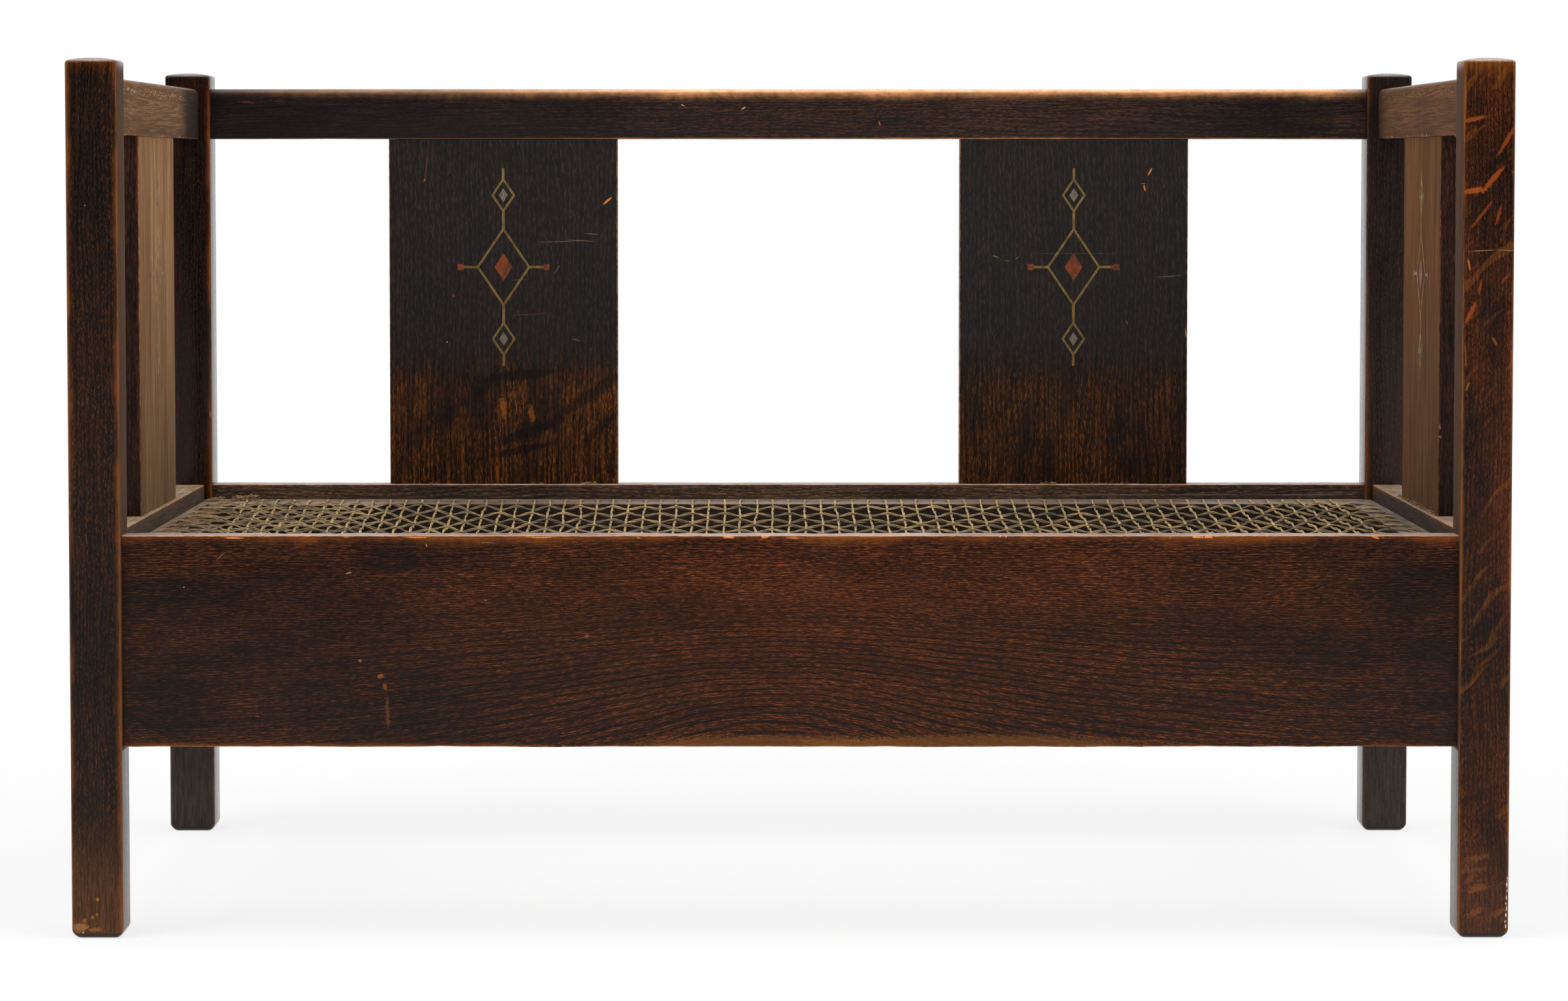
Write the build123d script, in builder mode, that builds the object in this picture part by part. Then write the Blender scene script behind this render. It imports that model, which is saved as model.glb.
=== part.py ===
from build123d import *
import os

# Low settle of dark oak with arms and back of one height, two wide slats in the back and one
# under each arm, all with a small inlaid figure, and a loose seat frame strung with cord.
# Millimetres. X runs along the settle, the front faces -Y, Z is up from the floor.

# Overall sizes
settle_width = 1245.0
settle_depth = 660.0
settle_height = 762.0
post_size = 44.5

# Rails, all centred in the thickness of the posts
seat_rail_thick = 28.5
seat_rail_top = 350.0
seat_rail_height = 184.0
arm_thick = 22.0
arm_top = 746.0
arm_height = 50.0

# Slats
slat_width = 229.0
slat_thick = 19.0
back_slat_centre = 286.0

# Rounded edges, the domed post tops and the chamfered feet
post_round = 1.5
dome_rise = 3.7
foot_chamfer = 5.0
arm_round = 6.3
seat_round = 3.0
lower_round = 1.5

# Mortises and tenons
long_tenon = 30.0
stub_tenon = 14.0
seat_tenon_thick = 12.0
arm_tenon_thick = 10.0
tenon_shoulder = 8.0
slat_tenon = 14.0
slat_tenon_thick = 9.5
fit_gap = 0.1
mortise_end_gap = 1.0

# Inlaid figure: metal strips let into the slats, standing a hair proud
inlay_height = 568.0
inlay_deep = 1.5
inlay_proud = 0.2
string_width = 2.6
large_lozenge = (27.0, 40.0)
small_lozenge = (12.0, 18.0)
lozenge_spacing = 72.0
staff_reach = 99.0
arm_bar_reach = 40.0
large_heart = (9.0, 14.0)
small_heart = (4.5, 7.0)
end_square = 6.0

# Loose seat frame and the cleats that it lies on
seat_top = 335.0
seat_frame_thick = 19.0
seat_clearance = 2.0
long_member_width = 64.0
end_member_width = 28.0
seat_frame_tenon = 20.0
seat_frame_tenon_thick = 7.0
seat_frame_tenon_inset = 4.0
cleat_size = 20.0
cleat_gap = 2.5

# Cord: nine long runs and every second cross run, in holes drilled down through the frame
cord = 2.7
cord_hole = 4.0
long_pitch = 51.2
long_runs = 9
cross_pitch = 15.875
cross_runs = 69
long_hole_inset = 10.0
cross_hole_inset = 30.0
cord_tail = 10.0

# Countersunk wood screws in the cleats
screw_head = 8.0
screw_shank = 4.0
screw_length = 38.0
screw_head_deep = 2.5
long_cleat_screws = 4
end_cleat_screws = 3

# Worked out from the sizes above
half_width = settle_width / 2
half_depth = settle_depth / 2
post_x = half_width - post_size / 2
post_y = half_depth - post_size / 2
inner_x = half_width - post_size
inner_y = half_depth - post_size
seat_rail_bottom = seat_rail_top - seat_rail_height
arm_bottom = arm_top - arm_height
rail_face_x = post_x - seat_rail_thick / 2
rail_face_y = post_y - seat_rail_thick / 2
frame_x = rail_face_x - seat_clearance
frame_y = rail_face_y - seat_clearance
seat_bottom = seat_top - seat_frame_thick
seat_tenon_height = seat_rail_height - 2 * tenon_shoulder
arm_tenon_height = arm_height - 2 * tenon_shoulder
seat_tenon_middle = seat_rail_bottom + seat_rail_height / 2
arm_tenon_middle = arm_bottom + arm_height / 2
long_hole_x = frame_x - long_hole_inset
cross_hole_y = frame_y - cross_hole_inset
end_opening_y = frame_y - long_member_width

os.makedirs("parts", exist_ok=True)


def save(piece, name):
    """Labels a finished piece and writes it to its own file."""
    piece.label = name
    export_step(piece, f"parts/{name}.step")


# Corner posts. A mortise for a long rail opens on the face towards the middle of the settle,
# one for a side rail on the face towards the middle of its depth.
def corner_post(side, end, has_crest):
    x, y = side * post_x, end * post_y
    arc_edge = settle_height - dome_rise
    half = post_size / 2
    along_x = Plane(origin=(x, y, 0), x_dir=(1, 0, 0), z_dir=(0, -1, 0))
    along_y = Plane(origin=(x, y, 0), x_dir=(0, 1, 0), z_dir=(1, 0, 0))
    with BuildPart() as post:
        for face, mode in ((along_x, Mode.ADD), (along_y, Mode.INTERSECT)):
            with BuildSketch(face):
                with BuildLine():
                    Polyline((-half, arc_edge), (-half, 0), (half, 0), (half, arc_edge))
                    ThreePointArc((half, arc_edge), (0, settle_height), (-half, arc_edge))
                make_face()
            extrude(amount=half, both=True, mode=mode)
        chamfer(post.faces().sort_by(Axis.Z)[0].edges(), foot_chamfer)
        fillet(post.edges().filter_by(Axis.Z), post_round)
        joints = [(seat_tenon_middle, seat_tenon_height, seat_tenon_thick, stub_tenon, "side"),
                  (seat_tenon_middle, seat_tenon_height, seat_tenon_thick, long_tenon, "long"),
                  (arm_tenon_middle, arm_tenon_height, arm_tenon_thick, stub_tenon, "side")]
        if has_crest:
            joints.append((arm_tenon_middle, arm_tenon_height, arm_tenon_thick, long_tenon, "long"))
        for middle, tall, thick, reach, way in joints:
            deep = reach + mortise_end_gap
            wide = thick + 2 * fit_gap
            high = tall + 2 * fit_gap
            if way == "long":
                with Locations((side * (inner_x + deep / 2), y, middle)):
                    Box(deep, wide, high, mode=Mode.SUBTRACT)
            else:
                with Locations((x, end * (inner_y + deep / 2), middle)):
                    Box(wide, deep, high, mode=Mode.SUBTRACT)
    return post.part


for depth_name, end in (("front", -1), ("back", 1)):
    for side_name, side in (("left", -1), ("right", 1)):
        save(corner_post(side, end, end > 0), f"post_{depth_name}_{side_name}")


# A rail lies along the X of its own place, between two posts, with a tenon at each end and
# mortises for the slats that stand on it or hang from it. Screw holes are for a cleat.
def rail(place, length, thick, bottom, top, round_top, tenon, slats=(), slats_on_top=False,
         screws=(), screw_side=1):
    tenon_long, tenon_thick, tenon_high = tenon
    way = Axis(place.origin, place.x_dir)
    with BuildPart(place) as piece:
        with Locations((0, 0, bottom)):
            Box(length, thick, top - bottom, align=(Align.CENTER, Align.CENTER, Align.MIN))
        fillet(piece.edges().filter_by(way).group_by(Axis.Z)[-1], round_top)
        fillet(piece.edges().filter_by(way).group_by(Axis.Z)[0], lower_round)
        reach = (length + tenon_long) / 2
        with Locations((-reach, 0, (bottom + top) / 2), (reach, 0, (bottom + top) / 2)):
            Box(tenon_long, tenon_thick, tenon_high)
        deep = slat_tenon + mortise_end_gap
        level = top - deep / 2 if slats_on_top else bottom + deep / 2
        for where in slats:
            with Locations((where, 0, level)):
                Box(slat_width - 2 * tenon_shoulder + 2 * fit_gap, slat_tenon_thick + 2 * fit_gap,
                    deep, mode=Mode.SUBTRACT)
        pilot = screw_length - cleat_size + mortise_end_gap
        for where in screws:
            hole_middle = (where, screw_side * (thick - pilot) / 2, seat_bottom - cleat_size / 2)
            with Locations(Location(hole_middle, (90, 0, 0))):
                Cylinder(screw_shank / 2, pilot, mode=Mode.SUBTRACT)
    return piece.part


def spread(count, span):
    """Places of a number of things, evenly spaced and centred over a span."""
    step = span / count
    return [step * (i - (count - 1) / 2) for i in range(count)]


front_place = Plane(origin=(0, -post_y, 0), x_dir=(1, 0, 0), z_dir=(0, 0, 1))
back_place = Plane(origin=(0, post_y, 0), x_dir=(1, 0, 0), z_dir=(0, 0, 1))
left_place = Plane(origin=(-post_x, 0, 0), x_dir=(0, 1, 0), z_dir=(0, 0, 1))
right_place = Plane(origin=(post_x, 0, 0), x_dir=(0, 1, 0), z_dir=(0, 0, 1))
side_places = {"left": left_place, "right": right_place}
back_slats = {"left": -back_slat_centre, "right": back_slat_centre}

long_span = 2 * inner_x
side_span = 2 * inner_y
long_cleat_length = long_span - 2 * cleat_gap
end_cleat_length = 2 * (rail_face_y - cleat_size - cleat_gap)
long_screws = spread(long_cleat_screws, long_cleat_length)
end_screws = spread(end_cleat_screws, end_cleat_length)

# Seat rails. The back and side ones carry the slats on their top edge.
seat_joint_long = (long_tenon, seat_tenon_thick, seat_tenon_height)
seat_joint_stub = (stub_tenon, seat_tenon_thick, seat_tenon_height)
save(rail(front_place, long_span, seat_rail_thick, seat_rail_bottom, seat_rail_top, seat_round,
          seat_joint_long, screws=long_screws), "seat_rail_front")
save(rail(back_place, long_span, seat_rail_thick, seat_rail_bottom, seat_rail_top, seat_round,
          seat_joint_long, slats=back_slats.values(), slats_on_top=True,
          screws=long_screws, screw_side=-1), "seat_rail_back")
for side_name, inward in (("left", -1), ("right", 1)):
    save(rail(side_places[side_name], side_span, seat_rail_thick, seat_rail_bottom, seat_rail_top,
              seat_round, seat_joint_stub, slats=(0,), slats_on_top=True,
              screws=end_screws, screw_side=inward), f"seat_rail_{side_name}")

# Crest rail and arm rails, with well rounded upper edges
save(rail(back_place, long_span, arm_thick, arm_bottom, arm_top, arm_round,
          (long_tenon, arm_tenon_thick, arm_tenon_height), slats=back_slats.values()), "crest_rail")
for side_name, place in side_places.items():
    save(rail(place, side_span, arm_thick, arm_bottom, arm_top, arm_round,
              (stub_tenon, arm_tenon_thick, arm_tenon_height), slats=(0,)), f"arm_rail_{side_name}")


# The inlaid figure: a staff that carries one large and two small open lozenges, with a short
# bar to each side. The hearts of the lozenges and the ends of the bars are other metals.
def lozenge(half_size, level=0.0, mode=Mode.ADD):
    wide, high = half_size
    with Locations((0, level)):
        Polygon((-wide, 0), (0, -high), (wide, 0), (0, high), mode=mode)


def staff_and_rings():
    levels = (-lozenge_spacing, 0.0, lozenge_spacing)
    Rectangle(string_width, 2 * staff_reach)
    Rectangle(2 * arm_bar_reach, string_width)
    for level in levels:
        lozenge(large_lozenge if level == 0 else small_lozenge, level)
    for level in levels:
        wide, high = large_lozenge if level == 0 else small_lozenge
        shrink = 1 - string_width / wide
        lozenge((wide * shrink, high * shrink), level, Mode.SUBTRACT)


def copper_pieces():
    lozenge(large_heart)
    with Locations((-arm_bar_reach - end_square / 2, 0), (arm_bar_reach + end_square / 2, 0)):
        Rectangle(end_square, end_square)


def pewter_pieces():
    for level in (-lozenge_spacing, lozenge_spacing):
        lozenge(small_heart, level)


inlay_metals = {"brass": staff_and_rings, "copper": copper_pieces, "pewter": pewter_pieces}


def inlay_plane(place):
    """The slat's face towards the sitter, with the figure's middle as its origin."""
    face = place.origin - place.y_dir * (slat_thick / 2) + Vector(0, 0, inlay_height)
    return Plane(origin=face, x_dir=place.x_dir, z_dir=-place.y_dir)


# A slat stands on a seat rail with its tenons in it and in the rail above. The figure is cut
# into the face towards the sitter, and each metal of it is a piece of its own.
def slat(place):
    with BuildPart(place) as board:
        with Locations((0, 0, seat_rail_top)):
            Box(slat_width, slat_thick, arm_bottom - seat_rail_top,
                align=(Align.CENTER, Align.CENTER, Align.MIN))
        fillet(board.edges().filter_by(Axis.Z), post_round)
        with Locations((0, 0, seat_rail_top - slat_tenon / 2), (0, 0, arm_bottom + slat_tenon / 2)):
            Box(slat_width - 2 * tenon_shoulder, slat_tenon_thick, slat_tenon)
        for drawing in inlay_metals.values():
            with BuildSketch(inlay_plane(place)):
                drawing()
            extrude(amount=-inlay_deep, mode=Mode.SUBTRACT)
    return board.part


def inlay(place, drawing):
    with BuildPart() as strips:
        with BuildSketch(inlay_plane(place).offset(-inlay_deep)):
            drawing()
        extrude(amount=inlay_deep + inlay_proud)
    return strips.part


slat_places = {
    "back_slat_left": Plane(origin=(-back_slat_centre, post_y, 0), x_dir=(1, 0, 0), z_dir=(0, 0, 1)),
    "back_slat_right": Plane(origin=(back_slat_centre, post_y, 0), x_dir=(1, 0, 0), z_dir=(0, 0, 1)),
    "side_slat_left": Plane(origin=(-post_x, 0, 0), x_dir=(0, 1, 0), z_dir=(0, 0, 1)),
    "side_slat_right": Plane(origin=(post_x, 0, 0), x_dir=(0, -1, 0), z_dir=(0, 0, 1)),
}
for slat_name, place in slat_places.items():
    save(slat(place), slat_name)
    for metal, drawing in inlay_metals.items():
        save(inlay(place, drawing), f"inlay_{metal}_{slat_name}")


# Cleats screwed to the inside of the seat rails
def cleat(place, length, screws, inward):
    """inward is the side of the rail, along the place's Y, that faces the seat."""
    middle = inward * (seat_rail_thick + cleat_size) / 2
    with BuildPart(place) as strip:
        with Locations((0, middle, seat_bottom - cleat_size / 2)):
            Box(length, cleat_size, cleat_size)
        for where in screws:
            face = (where, middle + inward * cleat_size / 2, seat_bottom - cleat_size / 2)
            with Locations(Location(face, (-90 * inward, 0, 0))):
                CounterSinkHole(screw_shank / 2 + fit_gap, screw_head / 2 + fit_gap,
                                depth=cleat_size)
    return strip.part


cleat_plans = {
    "front": (front_place, long_cleat_length, long_screws, 1),
    "back": (back_place, long_cleat_length, long_screws, -1),
    "left": (left_place, end_cleat_length, end_screws, -1),
    "right": (right_place, end_cleat_length, end_screws, 1),
}
for cleat_name, plan in cleat_plans.items():
    save(cleat(*plan), f"cleat_{cleat_name}")

# Their screws, one group of separate solids
with BuildPart() as screws:
    for place, length, spots, inward in cleat_plans.values():
        for where in spots:
            head = (place.origin + place.x_dir * where
                    + place.y_dir * (inward * (seat_rail_thick / 2 + cleat_size))
                    + Vector(0, 0, seat_bottom - cleat_size / 2))
            into_rail = place.y_dir * -inward
            with BuildSketch(Plane(origin=head, x_dir=(0, 0, 1), z_dir=into_rail)):
                Circle(screw_shank / 2)
            extrude(amount=screw_length)
            with BuildSketch(Plane(origin=head, x_dir=(0, 0, 1), z_dir=into_rail)):
                Circle(screw_head / 2)
            extrude(amount=screw_head_deep, taper=40)
save(screws.part, "cleat_screws")


# Seat frame. The long members run the full length with their corners notched round the posts,
# and the end members are tenoned between them. Cord holes go straight down through all four.
notch = frame_x - inner_x + seat_clearance


def long_member(end):
    middle = end * (frame_y - long_member_width / 2)
    with BuildPart() as member:
        with Locations((0, middle, seat_bottom)):
            Box(2 * frame_x, long_member_width, seat_frame_thick,
                align=(Align.CENTER, Align.CENTER, Align.MIN))
        corner = (frame_x - notch / 2, end * (frame_y - notch / 2), seat_top - seat_frame_thick / 2)
        with Locations(corner, (-corner[0], corner[1], corner[2])):
            Box(notch, notch, seat_frame_thick, mode=Mode.SUBTRACT)
        deep = seat_frame_tenon + mortise_end_gap
        tenon_x = frame_x - end_member_width / 2
        mortise = (tenon_x, end * (end_opening_y + deep / 2), seat_top - seat_frame_thick / 2)
        with Locations(mortise, (-mortise[0], mortise[1], mortise[2])):
            Box(end_member_width - 2 * seat_frame_tenon_inset + 2 * fit_gap, deep,
                seat_frame_tenon_thick + 2 * fit_gap, mode=Mode.SUBTRACT)
        with BuildSketch(Plane.XY.offset(seat_top)):
            with Locations((0, end * cross_hole_y)):
                with GridLocations(cross_pitch, 1, cross_runs, 1):
                    Circle(cord_hole / 2)
        extrude(amount=-seat_frame_thick, mode=Mode.SUBTRACT)
    return member.part


def end_member(side):
    middle = side * (frame_x - end_member_width / 2)
    with BuildPart() as member:
        with Locations((middle, 0, seat_bottom)):
            Box(end_member_width, 2 * end_opening_y, seat_frame_thick,
                align=(Align.CENTER, Align.CENTER, Align.MIN))
        reach = end_opening_y + seat_frame_tenon / 2
        level = seat_top - seat_frame_thick / 2
        with Locations((middle, -reach, level), (middle, reach, level)):
            Box(end_member_width - 2 * seat_frame_tenon_inset, seat_frame_tenon,
                seat_frame_tenon_thick)
        with BuildSketch(Plane.XY.offset(seat_top)):
            with Locations((side * long_hole_x, 0)):
                with GridLocations(1, long_pitch, 1, long_runs):
                    Circle(cord_hole / 2)
        extrude(amount=-seat_frame_thick, mode=Mode.SUBTRACT)
    return member.part


for name, end in (("front", -1), ("back", 1)):
    save(long_member(end), f"seat_frame_{name}")
for name, side in (("left", -1), ("right", 1)):
    save(end_member(side), f"seat_frame_{name}")

# Strung seat: one holed face of the cord's thickness, with a tail of each run over the frame
# and down into its hole.
shown_cross_runs = (cross_runs + 1) // 2
shown_cross_pitch = 2 * cross_pitch
net_x = (shown_cross_runs - 1) * shown_cross_pitch + cord
net_y = (long_runs - 1) * long_pitch + cord
with BuildPart() as webbing:
    with BuildSketch(Plane.XY.offset(seat_top)):
        Rectangle(net_x, net_y)
        with GridLocations(shown_cross_pitch, long_pitch, shown_cross_runs - 1, long_runs - 1):
            Rectangle(shown_cross_pitch - cord, long_pitch - cord, mode=Mode.SUBTRACT)
        long_tail = long_hole_x - net_x / 2
        cross_tail = cross_hole_y - net_y / 2
        for way in (-1, 1):
            with Locations((way * (net_x + long_tail) / 2, 0)):
                with GridLocations(1, long_pitch, 1, long_runs):
                    Rectangle(long_tail, cord)
            with Locations((0, way * (net_y + cross_tail) / 2)):
                with GridLocations(shown_cross_pitch, 1, shown_cross_runs, 1):
                    Rectangle(cord, cross_tail)
    extrude(amount=cord)
    with BuildSketch(Plane.XY.offset(seat_top + cord)):
        for way in (-1, 1):
            with Locations((way * long_hole_x, 0)):
                with GridLocations(1, long_pitch, 1, long_runs):
                    Circle(cord / 2)
            with Locations((0, way * cross_hole_y)):
                with GridLocations(shown_cross_pitch, 1, shown_cross_runs, 1):
                    Circle(cord / 2)
    extrude(amount=-(cord + cord_tail))
save(webbing.part, "seat_webbing")
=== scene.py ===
import math
import random

import bpy
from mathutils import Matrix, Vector, noise


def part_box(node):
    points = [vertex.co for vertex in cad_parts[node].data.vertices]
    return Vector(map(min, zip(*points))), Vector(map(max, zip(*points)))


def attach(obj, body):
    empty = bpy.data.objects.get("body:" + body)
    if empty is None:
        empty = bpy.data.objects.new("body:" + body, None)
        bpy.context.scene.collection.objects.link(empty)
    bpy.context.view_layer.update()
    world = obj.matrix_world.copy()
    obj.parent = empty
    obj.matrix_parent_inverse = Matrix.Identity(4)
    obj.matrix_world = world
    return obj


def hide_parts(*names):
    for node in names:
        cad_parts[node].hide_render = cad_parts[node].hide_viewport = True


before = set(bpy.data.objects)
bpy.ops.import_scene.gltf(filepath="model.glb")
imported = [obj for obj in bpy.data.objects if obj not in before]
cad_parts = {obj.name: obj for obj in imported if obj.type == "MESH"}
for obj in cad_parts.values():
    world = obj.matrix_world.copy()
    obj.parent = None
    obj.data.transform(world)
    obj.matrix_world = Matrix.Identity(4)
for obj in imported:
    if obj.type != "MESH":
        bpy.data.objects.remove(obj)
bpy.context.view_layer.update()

bpy.context.scene.view_settings.view_transform = "Standard"

# The settle is seen from straight in front and far back, a little above its arms, through a
# long lens. The film is moved down behind the lens, so that the posts stand nearly upright.
image_width = 2408
focal_length_in_pixels = 6706
shift_in_pixels = 150
camera_place = (-0.011, -4.084, 0.6655)
camera_dip = math.radians(3.055)
camera_turn = math.radians(-0.084)
film = 36.0
beyond_floor = 60

bpy.ops.object.camera_add(location=camera_place, rotation=(math.pi / 2 - camera_dip, 0, camera_turn))
camera = bpy.context.object
camera.data.sensor_width = film
camera.data.lens = film * (focal_length_in_pixels / image_width)
camera.data.shift_y = -shift_in_pixels / image_width
camera.data.clip_end = beyond_floor
bpy.context.scene.camera = camera

# Finish of the dark oak: a near-black fumed stain under worn shellac, through which the grain
# shows brown and orange. The arrises are rubbed back to bare orange wood, and dust lies on top.
def paint(red, green, blue):
    """A colour as a paint chart gives it, 0 to 255, as the shader takes it."""
    return tuple((c / 255 / 12.92 if c < 11 else ((c / 255 + 0.055) / 1.055) ** 2.4)
                 for c in (red, green, blue)) + (1.0,)


class Nodes:
    """The shader nodes of one material, or of one effect that materials share."""

    def __init__(self, tree):
        self.tree = tree

    def put(self, value, socket):
        """Links a node's output to a socket, or gives the socket a plain value."""
        if isinstance(value, bpy.types.NodeSocket):
            self.tree.links.new(value, socket)
        else:
            socket.default_value = value

    def add(self, kind, inputs=None, **settings):
        """Adds a shader node, with its settings, and fills its inputs."""
        made = self.tree.nodes.new("ShaderNode" + kind)
        for name, value in settings.items():
            setattr(made, name, value)
        for name, value in (inputs or {}).items():
            self.put(value, made.inputs[name])
        return made

    def math(self, operation, *values, clamp=False):
        inputs = dict(enumerate(values))
        return self.add("Math", inputs, operation=operation, use_clamp=clamp).outputs[0]

    def plus(self, first, second):
        return self.math("ADD", first, second)

    def minus(self, first, second):
        return self.math("SUBTRACT", first, second)

    def times(self, product, *others):
        for other in others:
            product = self.math("MULTIPLY", product, other)
        return product

    def swing(self, value, amount):
        """Turns a value from 0 to 1 into a change of half the amount, down or up."""
        return self.times(self.minus(value, 0.5), amount)

    def vector(self, operation, *values):
        return self.add("VectorMath", dict(enumerate(values)), operation=operation).outputs[0]

    def length(self, vector):
        return self.add("VectorMath", {0: vector}, operation="LENGTH").outputs["Value"]

    def parts(self, vector):
        return self.add("SeparateXYZ", {"Vector": vector}).outputs

    def joined(self, x, y, z):
        return self.add("CombineXYZ", {"X": x, "Y": y, "Z": z}).outputs[0]

    def ramp(self, value, low, high, to_low=0.0, to_high=1.0):
        """The value's place between low and high, with soft ends."""
        return self.add("MapRange", {
            "Value": value, "From Min": low, "From Max": high, "To Min": to_low, "To Max": to_high,
        }, interpolation_type="SMOOTHSTEP").outputs["Result"]

    def blend(self, amount, first, second):
        """Two colours mixed by an amount. Each is a node's output, or a paint's three numbers."""
        first, second = (paint(*tone) if isinstance(tone, tuple) else tone for tone in (first, second))
        return self.add("Mix", {0: amount, 6: first, 7: second}, data_type="RGBA",
                        clamp_factor=True).outputs[2]

    def fibre_noise(self, point, size, detail=3.0, roughness=0.6):
        """Noise with blobs of the given size in metres: one for all, or along x, y and z."""
        size = (size, size, size) if isinstance(size, float) else size
        return self.add("TexNoise", {
            "Vector": self.vector("DIVIDE", point, size), "Scale": 1.0, "Detail": detail,
            "Roughness": roughness}).outputs["Fac"]

    def use(self, effect, inputs):
        """Places a shared effect, and gives its outputs."""
        return self.add("Group", inputs, node_tree=effect).outputs


def start_effect(name, vectors, values, results):
    """A shared effect's nodes and inputs, and a function that links its results and closes it."""
    tree = bpy.data.node_groups.new(name, "ShaderNodeTree")
    for labels, kind in ((vectors, "NodeSocketVector"), (values, "NodeSocketFloat")):
        for label in labels:
            tree.interface.new_socket(label, in_out="INPUT", socket_type=kind)
    for label in results:
        tree.interface.new_socket(label, in_out="OUTPUT", socket_type="NodeSocketFloat")
    way_in, way_out = tree.nodes.new("NodeGroupInput"), tree.nodes.new("NodeGroupOutput")

    def close(*outputs):
        for label, output in zip(results, outputs):
            tree.links.new(output, way_out.inputs[label])
        return tree
    return Nodes(tree), way_in.outputs, close


def new_material(name):
    """A material, its nodes and its shader."""
    material = bpy.data.materials.new(name)
    material.use_nodes = True
    tree = material.node_tree
    return material, Nodes(tree), tree.nodes["Principled BSDF"]


def give_finish(piece, material):
    """Puts one finish all over a piece."""
    piece.data.materials.clear()
    piece.data.materials.append(material)


# How near a point of a board is to its closest long arris: a soft glow of rubbed wood, a thin
# bare line on the arris itself, and a few chips
nodes, given, close = start_effect("worn_arris", ["Point", "Centre", "Half Size"],
                                   ["Reach", "Chipping", "Evenness"], ["Glow", "Line", "Chips"])
from_middle = nodes.vector("ABSOLUTE", nodes.vector("SUBTRACT", given["Point"], given["Centre"]))
from_faces = nodes.parts(nodes.vector("SUBTRACT", given["Half Size"], from_middle))
inner = nodes.math("MINIMUM", from_faces[0], from_faces[1])
outer = nodes.math("MAXIMUM", from_faces[0], from_faces[1])
to_arris = nodes.math("MAXIMUM", inner, nodes.math("MINIMUM", outer, from_faces[2]))
patches = nodes.fibre_noise(given["Point"], 0.11)
fine_patches = nodes.fibre_noise(given["Point"], 0.008)
wide = nodes.ramp(patches, 0.3, 0.7, 0.5, 1.7)
wide = nodes.plus(wide, nodes.times(given["Evenness"], nodes.minus(1.1, wide)))
reach = nodes.times(given["Reach"], wide)
ragged = nodes.plus(nodes.math("DIVIDE", to_arris, reach), nodes.swing(fine_patches, 0.5))
near = nodes.ramp(ragged, 1.15, -0.15)
most = nodes.math("MAXIMUM", nodes.ramp(patches, 0.36, 0.62, 0.25, 1.0), given["Evenness"])
line = nodes.times(nodes.ramp(to_arris, 0.0013, 0.0004), nodes.ramp(fine_patches, 0.4, 0.62))
rare = nodes.plus(nodes.fibre_noise(given["Point"], 0.05, 2.0), given["Chipping"])
chips = nodes.times(nodes.ramp(fine_patches, 0.58, 0.61), nodes.ramp(rare, 0.52, 0.6),
                    nodes.ramp(to_arris, 0.0030, 0.0018))
worn_arris = close(nodes.times(near, near, most), line, chips)

# Grain of a board whose length is the point's x. Short pale dashes of filled pores lie in rows
# along the rings, with long streaks and broad clouds behind them. A hill bends the rings up.
nodes, given, close = start_effect(
    "oak_grain", ["Point"], ["Row", "Wander", "Hill", "Dash Length", "Dash Width"],
    ["Dashes", "Pits", "Hairs", "Streaks", "Rings", "Clouds"])
bend = nodes.swing(nodes.fibre_noise(given["Point"], (0.30, 0.08, 0.08), 2.0), given["Wander"])
point = nodes.vector("ADD", given["Point"], nodes.joined(0.0, bend, nodes.plus(bend, given["Hill"])))
spread = nodes.parts(point)
across = nodes.plus(spread["Z"], nodes.times(spread["Y"], 0.7))
across = nodes.plus(across, nodes.swing(nodes.fibre_noise(point, (0.06, 0.006, 0.006), 2.0), 0.006))
ring = nodes.math("SINE", nodes.math("DIVIDE", nodes.times(across, 2 * math.pi), given["Row"]))
dash_size = nodes.joined(given["Dash Length"], given["Dash Width"], given["Dash Width"])
dashes = nodes.plus(nodes.fibre_noise(point, dash_size, 2.0, 0.55), nodes.times(ring, 0.048))
pits = nodes.fibre_noise(point, (0.0045, 0.0007, 0.0007), 1.0, 0.5)
hairs = nodes.plus(nodes.fibre_noise(point, (0.07, 0.0009, 0.0009), 2.0), nodes.times(ring, 0.05))
streaks = nodes.fibre_noise(point, (0.07, 0.003, 0.003), 4.0, 0.65)
clouds = nodes.fibre_noise(point, (0.20, 0.05, 0.05))
oak_grain = close(nodes.ramp(dashes, 0.5, 0.66), nodes.ramp(pits, 0.52, 0.38),
                  nodes.ramp(hairs, 0.42, 0.64), streaks, nodes.ramp(ring, -0.2, -1.0), clouds)

# Ray flakes, which cross the grain of quartered oak in leaning wisps, pale or dark
nodes, given, close = start_effect("ray_flakes", ["Point"], ["Lean", "Length", "Thickness"], ["Flakes"])
leaning = nodes.add("VectorRotate", {"Vector": given["Point"], "Angle": given["Lean"]},
                    rotation_type="Y_AXIS").outputs[0]
curl = nodes.add("TexNoise", {"Vector": given["Point"], "Scale": 16.0, "Detail": 1.0}).outputs["Color"]
curled = nodes.vector("ADD", leaning, nodes.vector("MULTIPLY", curl, (0.035, 0.035, 0.035)))
flake_size = nodes.joined(given["Length"], given["Length"], given["Thickness"])
ray_flakes = close(nodes.ramp(nodes.fibre_noise(curled, flake_size, 2.0, 0.5), 0.60, 0.70))

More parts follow.
